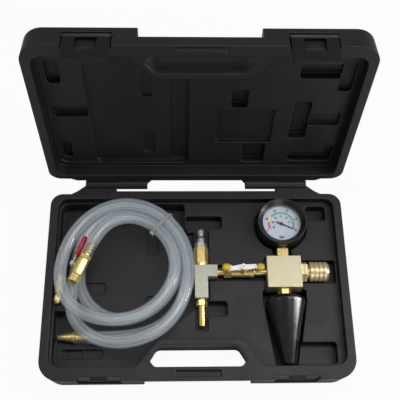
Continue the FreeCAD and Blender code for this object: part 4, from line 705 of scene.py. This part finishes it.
def add_figure(shape, words, x, y, level, size):
    """Adds figures to the dial's printing, centred on a point."""
    curve = bpy.data.curves.new("figure", "FONT")
    curve.body, curve.size = words, size
    curve.align_x, curve.align_y = "CENTER", "CENTER"
    curve.resolution_u, curve.offset = 3, size * 0.05
    piece = bpy.data.objects.new("figure", curve)
    bpy.context.scene.collection.objects.link(piece)
    bpy.context.view_layer.update()
    flat = bpy.data.meshes.new_from_object(piece)
    flat.transform(Matrix.Translation((x, y, level)))
    shape.from_mesh(flat)
    bpy.data.objects.remove(piece)
    bpy.data.curves.remove(curve)
    bpy.data.meshes.remove(flat)


def add_figures(shape, words, radius, level, size):
    """Sets figures evenly along the scale, from its start to its end."""
    for step, figure in enumerate(words):
        angle = math.radians(scale_angle(step / (len(words) - 1)))
        x, y = DIAL_CENTRE.x + radius * math.cos(angle), DIAL_CENTRE.y + radius * math.sin(angle)
        add_figure(shape, figure, x, y, level, size)


def mesh_of(shape, name, smooth=False):
    """Turns a shape that is done into a mesh."""
    mesh = bpy.data.meshes.new(name)
    shape.to_mesh(mesh)
    shape.free()
    if smooth:
        mesh.shade_smooth()
    return mesh


# ------------------------------------------------------------------ operators

class TESTER_OT_set_stage(bpy.types.Operator):
    """Sets the camera, the floor and the lamps"""

    bl_idname = "tester.set_stage"
    bl_label = "Set Stage"

    def execute(self, context):
        studio = context.scene.tester_kit.studio
        scene = context.scene
        scene.view_settings.view_transform = "Standard"
        self.aim_camera(scene, studio)
        self.lay_floor(scene, studio)
        self.light(scene, studio)
        return {"FINISHED"}

    def aim_camera(self, scene, studio):
        lens = bpy.data.cameras.new("camera")
        lens.lens, lens.sensor_width = studio.lens, 36
        lens.clip_start, lens.clip_end = 0.01, 20
        camera = bpy.data.objects.new("camera", lens)
        scene.collection.objects.link(camera)
        pitch, yaw, roll = (math.radians(angle) for angle in (CAMERA_PITCH, CAMERA_YAW, CAMERA_ROLL))
        swing = Matrix.Rotation(yaw, 3, "Z")
        ahead = swing @ Vector((0, math.cos(pitch), -math.sin(pitch)))
        right = swing @ Vector((1, 0, 0))
        up = swing @ Vector((0, math.sin(pitch), math.cos(pitch)))
        side = right * math.cos(roll) + up * math.sin(roll)
        top = up * math.cos(roll) - right * math.sin(roll)
        turn = Matrix((side, top, -ahead)).transposed().to_4x4()
        camera.matrix_world = Matrix.Translation(CAMERA_PLACE) @ turn
        scene.camera = camera

    def lay_floor(self, scene, studio):
        shape = bmesh.new()
        bmesh.ops.create_grid(shape, x_segments=1, y_segments=1, size=6)
        floor = bpy.data.objects.new("floor", mesh_of(shape, "floor"))
        floor.location.z = case_low.z - FLOOR_GAP
        scene.collection.objects.link(floor)
        made, tree, shader = finish("studio_floor")
        shader.inputs["Base Color"].default_value = (*studio.floor, 1)
        shader.inputs["Roughness"].default_value = 0.9
        shader.inputs["Specular IOR Level"].default_value = 0.1
        glow = put(tree, "ShaderNodeEmission", Color=(1, 1, 1), Strength=1.0)
        path = tree.nodes.new("ShaderNodeLightPath")
        seen = calculate(tree, "MULTIPLY", path.outputs["Is Camera Ray"], FLOOR_GLOW)
        mix_over(tree, shader, glow.outputs["Emission"], seen)
        floor.data.materials.append(made)

    def light(self, scene, studio):
        world = bpy.data.worlds.new("studio")
        scene.world = world
        world.use_nodes = True
        tree = world.node_tree
        tree.nodes.clear()
        output = tree.nodes.new("ShaderNodeOutputWorld")
        path = tree.nodes.new("ShaderNodeLightPath")
        seen = calculate(tree, "MAXIMUM", path.outputs["Is Camera Ray"], path.outputs["Is Transmission Ray"])
        polished = calculate(tree, "MULTIPLY", path.outputs["Is Glossy Ray"], studio.mirrored)
        seen = calculate(tree, "MAXIMUM", seen, polished)
        rest = calculate(tree, "SUBTRACT", 1.0, path.outputs["Is Glossy Ray"])
        rest = calculate(tree, "MULTIPLY", rest, studio.ambient)
        strength = calculate(tree, "MAXIMUM", seen, rest)
        white = put(tree, "ShaderNodeBackground", Color=(1, 1, 1), Strength=strength)
        tree.links.new(white.outputs["Background"], output.inputs["Surface"])
        low_power = studio.strip * LOW_STRIP_SHARE
        for name, spot, target, size, watts in (
            ("key_lamp", (0.70, 0.10, 1.15), (0, 0.02, 0.02), (0.5, 0.9), studio.key),
            ("fill_lamp", (-0.80, 0.20, 1.00), (0, 0.02, 0.02), (0.7, 0.7), studio.fill),
            ("top_lamp", (0.05, 0.20, 1.30), (0.05, 0.02, 0.02), (0.6, 0.16), studio.top),
            ("front_lamp", (0.50, -1.00, 0.60), (0.05, 0.16, 0.12), (0.6, 0.6), studio.front),
            ("near_strip", (0.82, -0.05, 0.40), (0.1, -0.05, 0.03), (0.10, 0.5), studio.strip),
            ("low_strip", (0.90, -0.02, 0.15), (0.1, -0.05, 0.03), (0.04, 0.4), low_power),
        ):
            lamp = bpy.data.lights.new(name, "AREA")
            lamp.shape, lamp.size, lamp.size_y, lamp.energy = "RECTANGLE", *size, watts
            piece = bpy.data.objects.new(name, lamp)
            piece.location = spot
            piece.rotation_mode = "QUATERNION"
            piece.rotation_quaternion = (Vector(target) - Vector(spot)).to_track_quat("-Z", "Y")
            piece.visible_diffuse = not name.endswith("strip")
            scene.collection.objects.link(piece)


class TESTER_OT_lay_hose(bpy.types.Operator):
    """Lays the clear hose: lead, coil and run, with its cut ends and tie"""

    bl_idname = "tester.lay_hose"
    bl_label = "Lay Hose"

    def execute(self, context):
        hose = context.scene.tester_kit.hose
        clear = make_hose_finish(hose)
        points = [*LEAD, *coil_points(), *RUN]
        curve = cord_curve("clear_hose", points, hose.diameter / 2)
        curve.materials.append(clear)
        piece = new_piece("clear_hose", curve, "hose")
        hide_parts("hose_coil", "hose_run", "hose_lead")
        shape = bmesh.new()
        for end, inward in ((points[0], points[1]), (points[-1], points[-2])):
            along = (Vector(end) - Vector(inward)).normalized()
            end_ring(shape, end, along, hose.diameter / 2, hose.bore / 2)
        rims = new_piece("hose_ends", mesh_of(shape, "hose_ends"), "hose")
        rims.data.materials.append(clear)
        tie = self.pull_tie(points, hose)
        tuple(HOSE_ON_VALVE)
        return {"FINISHED"}

    def pull_tie(self, points, hose):
        """A nylon tie pulled tight round every strand that passes its place, with its head on the inside."""
        low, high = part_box("hose_tie")
        middle = (low + high) / 2
        turn = math.atan2(middle.y - COIL_REAR_Y, middle.x - COIL_X)
        out = Vector((math.cos(turn), math.sin(turn), 0))
        along = Vector((-math.sin(turn), math.cos(turn), 0))
        around = []
        for centre in strands_at(points, middle, out, along):
            for way in map(Vector, ways_round()):
                around.append((centre + way * (hose.diameter / 2 + TIE_GAP), way))
        shape, half, foot = bmesh.new(), hose.tie_width / 2, Vector((middle.x, middle.y, 0))
        rows = []
        for spot, way in outline_round(around):
            outside = spot + way * TIE_THICKNESS
            corners = ((spot, -half), (spot, half), (outside, half), (outside, -half))
            rows.append([
                shape.verts.new(foot + out * flat.x + along * side + Vector((0, 0, flat.y)))
                for flat, side in corners
            ])
        for first, second in zip(rows, rows[1:] + rows[:1]):
            for k in range(4):
                shape.faces.new((first[k], first[(k + 1) % 4], second[(k + 1) % 4], second[k]))
        inmost = min(rows, key=lambda row: (row[2].co - middle).dot(out))
        head = bmesh.ops.create_cube(shape, size=1)["verts"]
        move = Matrix.Translation(inmost[2].co.lerp(inmost[3].co, 0.5) + Vector((0, 0, TIE_HEAD_LIFT)))
        move = move @ Matrix.Rotation(turn, 4, "Z") @ Matrix.Diagonal((*TIE_HEAD, 1))
        bmesh.ops.transform(shape, matrix=move, verts=head)
        bmesh.ops.recalc_face_normals(shape, faces=shape.faces)
        tie = new_piece("nylon_tie", mesh_of(shape, "nylon_tie"), "hose")
        tie.data.materials.append(moulded(
            "nylon", hose.tie, grain=0.002, rounding=0.0004, roughness=0.35, depth=0.00001, stain_and_edge_highlight=0.2
        ))
        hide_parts("hose_tie")
        return tie


class TESTER_OT_finish_case(bpy.types.Operator):
    """Gives the two halves of the case and its latch plates their moulded finishes"""

    bl_idname = "tester.finish_case"
    bl_label = "Finish Case"

    def execute(self, context):
        case = context.scene.tester_kit.case
        shell = moulded(
            "case_shell", case.shell, case.grain, case.rounding, roughness=0.44, depth=0.00006, stain_and_edge_highlight=0.60
        )
        latch = moulded(
            "latch_plate", case.latch, case.grain * 0.7, case.rounding * 0.4, roughness=0.40, depth=0.00003,
            stain_and_edge_highlight=0.3,
        )
        dress(shell, "case_base", "case_lid")
        dress(latch, "latch_left", "latch_right")
        return {"FINISHED"}


class TESTER_OT_finish_blocks(bpy.types.Operator):
    """Plates the square block and the venturi block"""

    bl_idname = "tester.finish_blocks"
    bl_label = "Finish Blocks"

    def execute(self, context):
        tester = context.scene.tester_kit.tester
        for name, base, roughness, stained, node in (
            ("block_plating", tester.block, 0.42, 0.15, "manifold_block"),
            ("tee_plating", tester.tee, 0.40, 0.20, "venturi_block"),
        ):
            plating = machined(
                name, base, roughness, rounding=0.0006, pitch=0.0003, depth=0.000006,
                stained=stained, metal=0.5,
            )
            dress(plating, node)
        return {"FINISHED"}


class TESTER_OT_finish_brass(bpy.types.Operator):
    """Gives the brass fittings their machined finish, and the coupler its turned rings"""

    bl_idname = "tester.finish_brass"
    bl_label = "Finish Brass"

    def execute(self, context):
        tester = context.scene.tester_kit.tester
        brass = machined(
            "brass", tester.brass, roughness=0.24, rounding=0.0003, pitch=tester.tool_mark, depth=0.000003,
            stained=0.30, metal=0.72,
        )
        dress(
            brass, "gauge_socket", "cone_nipple", "coupler_poppet", "venturi_nozzle", "plug_adaptor",
            "barb_fitting", "valve_nipple", "valve_body", "valve_stem", "gauge_movement", "sector_gear",
            "bourdon_tube", "hose_nozzle", "hose_valve_tail", "hose_valve_body", "hose_valve_stem",
            "spare_plug",
        )
        dress(self.grooved(tester.coupler, tester.groove), "coupler_body", "coupler_sleeve")
        return {"FINISHED"}

    def grooved(self, base, pitch):
        """Pale brass turned with shallow rings along the coupler, with painted shade in the rings' grooves.
        """
        made, tree, shader = finish("coupler_brass")
        marks = place(tree, effects()["Turning Marks"], Stain_Size=0.004)
        edges = place(tree, effects()["Rounded Edges"], Radius=0.0003)
        where = put(tree, "ShaderNodeSeparateXYZ", Vector=own_coordinates(tree))
        along = calculate(tree, "MULTIPLY", where.outputs["X"], math.tau / pitch)
        ring = spread(tree, calculate(tree, "SINE", along), -1.0, 0.2)
        # Painted shade: the rings' grooves take a darker colour, which the stains also use.
        stain_and_groove_shade = times(base, (0.72, 0.62, 0.48))
        groove_shaded = blend_colours(tree, ring, stain_and_groove_shade, base)
        stained = calculate(tree, "MULTIPLY", marks.outputs["Stain"], 0.3)
        join(tree, shader.inputs["Base Color"], blend_colours(tree, stained, groove_shaded, stain_and_groove_shade))
        shader.inputs["Metallic"].default_value = 0.45
        join(tree, shader.inputs["Roughness"], spread(tree, marks.outputs["Stain"], 0.3, 0.75, 0.26, 0.38))
        relief(tree, shader, ring, 0.0003, edges.outputs["Normal"], strength=0.5)
        return made


class TESTER_OT_finish_steel(bpy.types.Operator):
    """Gives the steel and chromed pieces their finish, and winds the coupler's springs"""

    bl_idname = "tester.finish_steel"
    bl_label = "Finish Steel"

    def execute(self, context):
        tester = context.scene.tester_kit.tester
        steel = machined(
            "plated_steel", tester.steel, roughness=0.28, rounding=0.0002, pitch=0.002, depth=0.000002,
            stained=0.3, metal=0.85,
        )
        chrome = machined(
            "chrome", lighter(tester.steel, 1.35, most=0.9), roughness=0.30, rounding=0.0001, pitch=0.004,
            depth=0.000001, stained=0.1, metal=0.6,
        )
        dress(
            steel, "quick_plug", "hinge_pins", "gauge_case", "coupler_balls", "hose_valve_lever",
            "hose_lever_nut",
        )
        dress(chrome, "valve_ball", "valve_lever", "lever_nut", "hose_valve_ball")
        self.wind_spring("coupler_spring", "sleeve_slide", steel)
        self.wind_spring("poppet_spring", "poppet_slide", steel)
        return {"FINISHED"}

    def wind_spring(self, name, joint, steel):
        """A steel copy of a spring, riding on the tester's body."""
        wire = nodes[name].data.copy()
        wire.transform(nodes[name].matrix_world)
        wire.materials.clear()
        wire.materials.append(steel)
        spring = new_piece(name + "_wound", wire, "tester")
        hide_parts(name)
        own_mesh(spring)


class TESTER_OT_finish_rubber(bpy.types.Operator):
    """Gives the cone, boot, grip, seal and seats their finishes, and dips the small lever's caps"""

    bl_idname = "tester.finish_rubber"
    bl_label = "Finish Rubber"

    def execute(self, context):
        tester = context.scene.tester_kit.tester
        dress(dipped("cone_rubber", tester.rubber, roughness=0.20, uneven=0.000008), "rubber_cone")
        dress(dipped("boot_rubber", times(tester.rubber, 0.7), roughness=0.38), "gauge_boot")
        dress(dipped("seal_rubber", times(tester.rubber, 2), roughness=0.5), "coupler_seal")
        dress(dipped("red_vinyl", tester.grip, roughness=0.25), "hose_lever_grip")
        dress(dipped("seat_plastic", tester.seats, roughness=0.3), "valve_seats", "hose_valve_seats")
        self.dip_caps(dipped("yellow_vinyl", tester.caps, roughness=0.25), tester.cap_length)
        return {"FINISHED"}

    def dip_caps(self, vinyl, cap_length):
        """The two tips, swollen and round as a dip leaves them, one at each end of the lever."""
        low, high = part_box("lever_caps")
        middle = (low + high) / 2
        shape = bmesh.new()
        size = Vector((cap_length, high.y - low.y, high.z - low.z))
        for end, side in ((low, 1), (high, -1)):
            centre = Vector((end.x + side * size.x / 2, middle.y, middle.z))
            ball = bmesh.ops.create_uvsphere(shape, u_segments=40, v_segments=24, radius=1)["verts"]
            for vert in ball:
                swell = sum(abs(part) ** CAP_FULLNESS for part in vert.co) ** (-1 / CAP_FULLNESS)
                vert.co = Vector(part * swell * whole / 2 for part, whole in zip(vert.co, size)) + centre
        piece = new_piece("round_caps", mesh_of(shape, "round_caps", True), "lever")
        piece.data.materials.append(vinyl)
        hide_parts("lever_caps")


class TESTER_OT_print_dial(bpy.types.Operator):
    """Prints the dial's bands, marks and figures, and finishes the pointer and the window"""

    bl_idname = "tester.print_dial"
    bl_label = "Print Dial"

    def execute(self, context):
        dial = context.scene.tester_kit.dial
        ink = printed("dial_ink", dial.ink)
        inks = [ink] + [
            printed(name, shade) for name, shade in (
                ("high_band", dial.high), ("middle_band", dial.middle), ("low_band", dial.low),
            )
        ]
        dress(printed("dial_enamel", dial.face), "gauge_dial")
        dress(ink, "gauge_needle")
        shape = bmesh.new()
        self.print_scale(shape, dial)
        piece = new_piece("dial_print", mesh_of(shape, "dial_print"), "tester")
        for made in inks:
            piece.data.materials.append(made)
        self.glaze()
        return {"FINISHED"}

    def print_scale(self, shape, dial):
        """The bands, the line inside them, the marks of both scales, their figures and the unit."""
        level = DIAL_TOP + PRINT_LIFT
        start, stop = scale_angle(0), scale_angle(1)
        for first, last, index in ((start, 141, 1), (141, 168, 2), (168, stop, 3)):
            ring_part(shape, dial.band_inner, dial.band_outer, first, last, level, index)
        line = dial.band_inner - SCALE_LINE_GAP
        inside, outside = line - SCALE_LINE_HALF_WIDTH, line + SCALE_LINE_HALF_WIDTH
        ring_part(shape, inside, outside, start, stop, level, 0)
        for marks, every, foot, long, short in (
            (30, 5, line, -0.0014, -0.0008),
            (20, 4, dial.band_outer, 0.0012, 0.0006),
        ):
            for step in range(marks + 1):
                is_long = step % every == 0
                tip = foot + (long if is_long else short)
                width = LONG_MARK_WIDTH if is_long else SHORT_MARK_WIDTH
                dial_bar(shape, min(foot, tip), max(foot, tip), scale_angle(step / marks), width, level)
        add_figures(shape, ("0", "-.2", "-.4", "-.6", "-.8", "-1"), dial.figure_ring, level, dial.figures)
        inner_figures = ("0", "5", "10", "15", "20", "25", "30")
        add_figures(shape, inner_figures, dial.inner_ring, level, dial.figures * 0.75)
        add_figure(shape, "bar", DIAL_CENTRE.x, DIAL_CENTRE.y - dial.word_drop, level, dial.figures)

    def glaze(self):
        """The clear window over the dial, faintly smeared."""
        made, tree, shader = finish("window_pane")
        smear = place(tree, effects()["Handling"], Smudge_Size=0.03)
        shader.inputs["Base Color"].default_value = (0.96, 0.97, 0.98, 1)
        shader.inputs["Transmission Weight"].default_value = 1.0
        shader.inputs["IOR"].default_value = 1.45
        shader.inputs["Alpha"].default_value = 0.35
        join(tree, shader.inputs["Roughness"], spread(tree, smear.outputs["Smudge"], 0.4, 0.8, 0.01, 0.05))
        let_lamps_through(tree, shader, 0.95)
        dress(made, "gauge_window")


class TESTER_PT_kit(bpy.types.Panel):
    """Settings and steps of the cased pressure tester"""

    bl_idname = "TESTER_PT_kit"
    bl_label = "Cased Pressure Tester"
    bl_space_type = "VIEW_3D"
    bl_region_type = "UI"
    bl_category = "Tester"

    def draw(self, context):
        kit = context.scene.tester_kit
        for title, group in (
            ("Case", kit.case), ("Tester", kit.tester), ("Dial", kit.dial), ("Hose", kit.hose),
            ("Studio", kit.studio),
        ):
            box = self.layout.box()
            box.label(text=title)
            for name in group.__annotations__:
                box.prop(group, name)
        for step in STEPS:
            self.layout.operator(step.bl_idname)


STEPS = (
    TESTER_OT_set_stage,
    TESTER_OT_lay_hose,
    TESTER_OT_finish_case,
    TESTER_OT_finish_blocks,
    TESTER_OT_finish_brass,
    TESTER_OT_finish_steel,
    TESTER_OT_finish_rubber,
    TESTER_OT_print_dial,
)
CLASSES = (
    CaseSettings,
    TesterSettings,
    DialSettings,
    HoseSettings,
    StudioSettings,
    KitSettings,
    *STEPS,
    TESTER_PT_kit,
)


def register():
    for each in CLASSES:
        bpy.utils.register_class(each)
    bpy.types.Scene.tester_kit = PointerProperty(type=KitSettings)


def unregister():
    del bpy.types.Scene.tester_kit
    for each in reversed(CLASSES):
        bpy.utils.unregister_class(each)


def main():
    register()
    for step in STEPS:
        group, name = step.bl_idname.split(".")
        getattr(getattr(bpy.ops, group), name)()


if __name__ == "__main__":
    main()
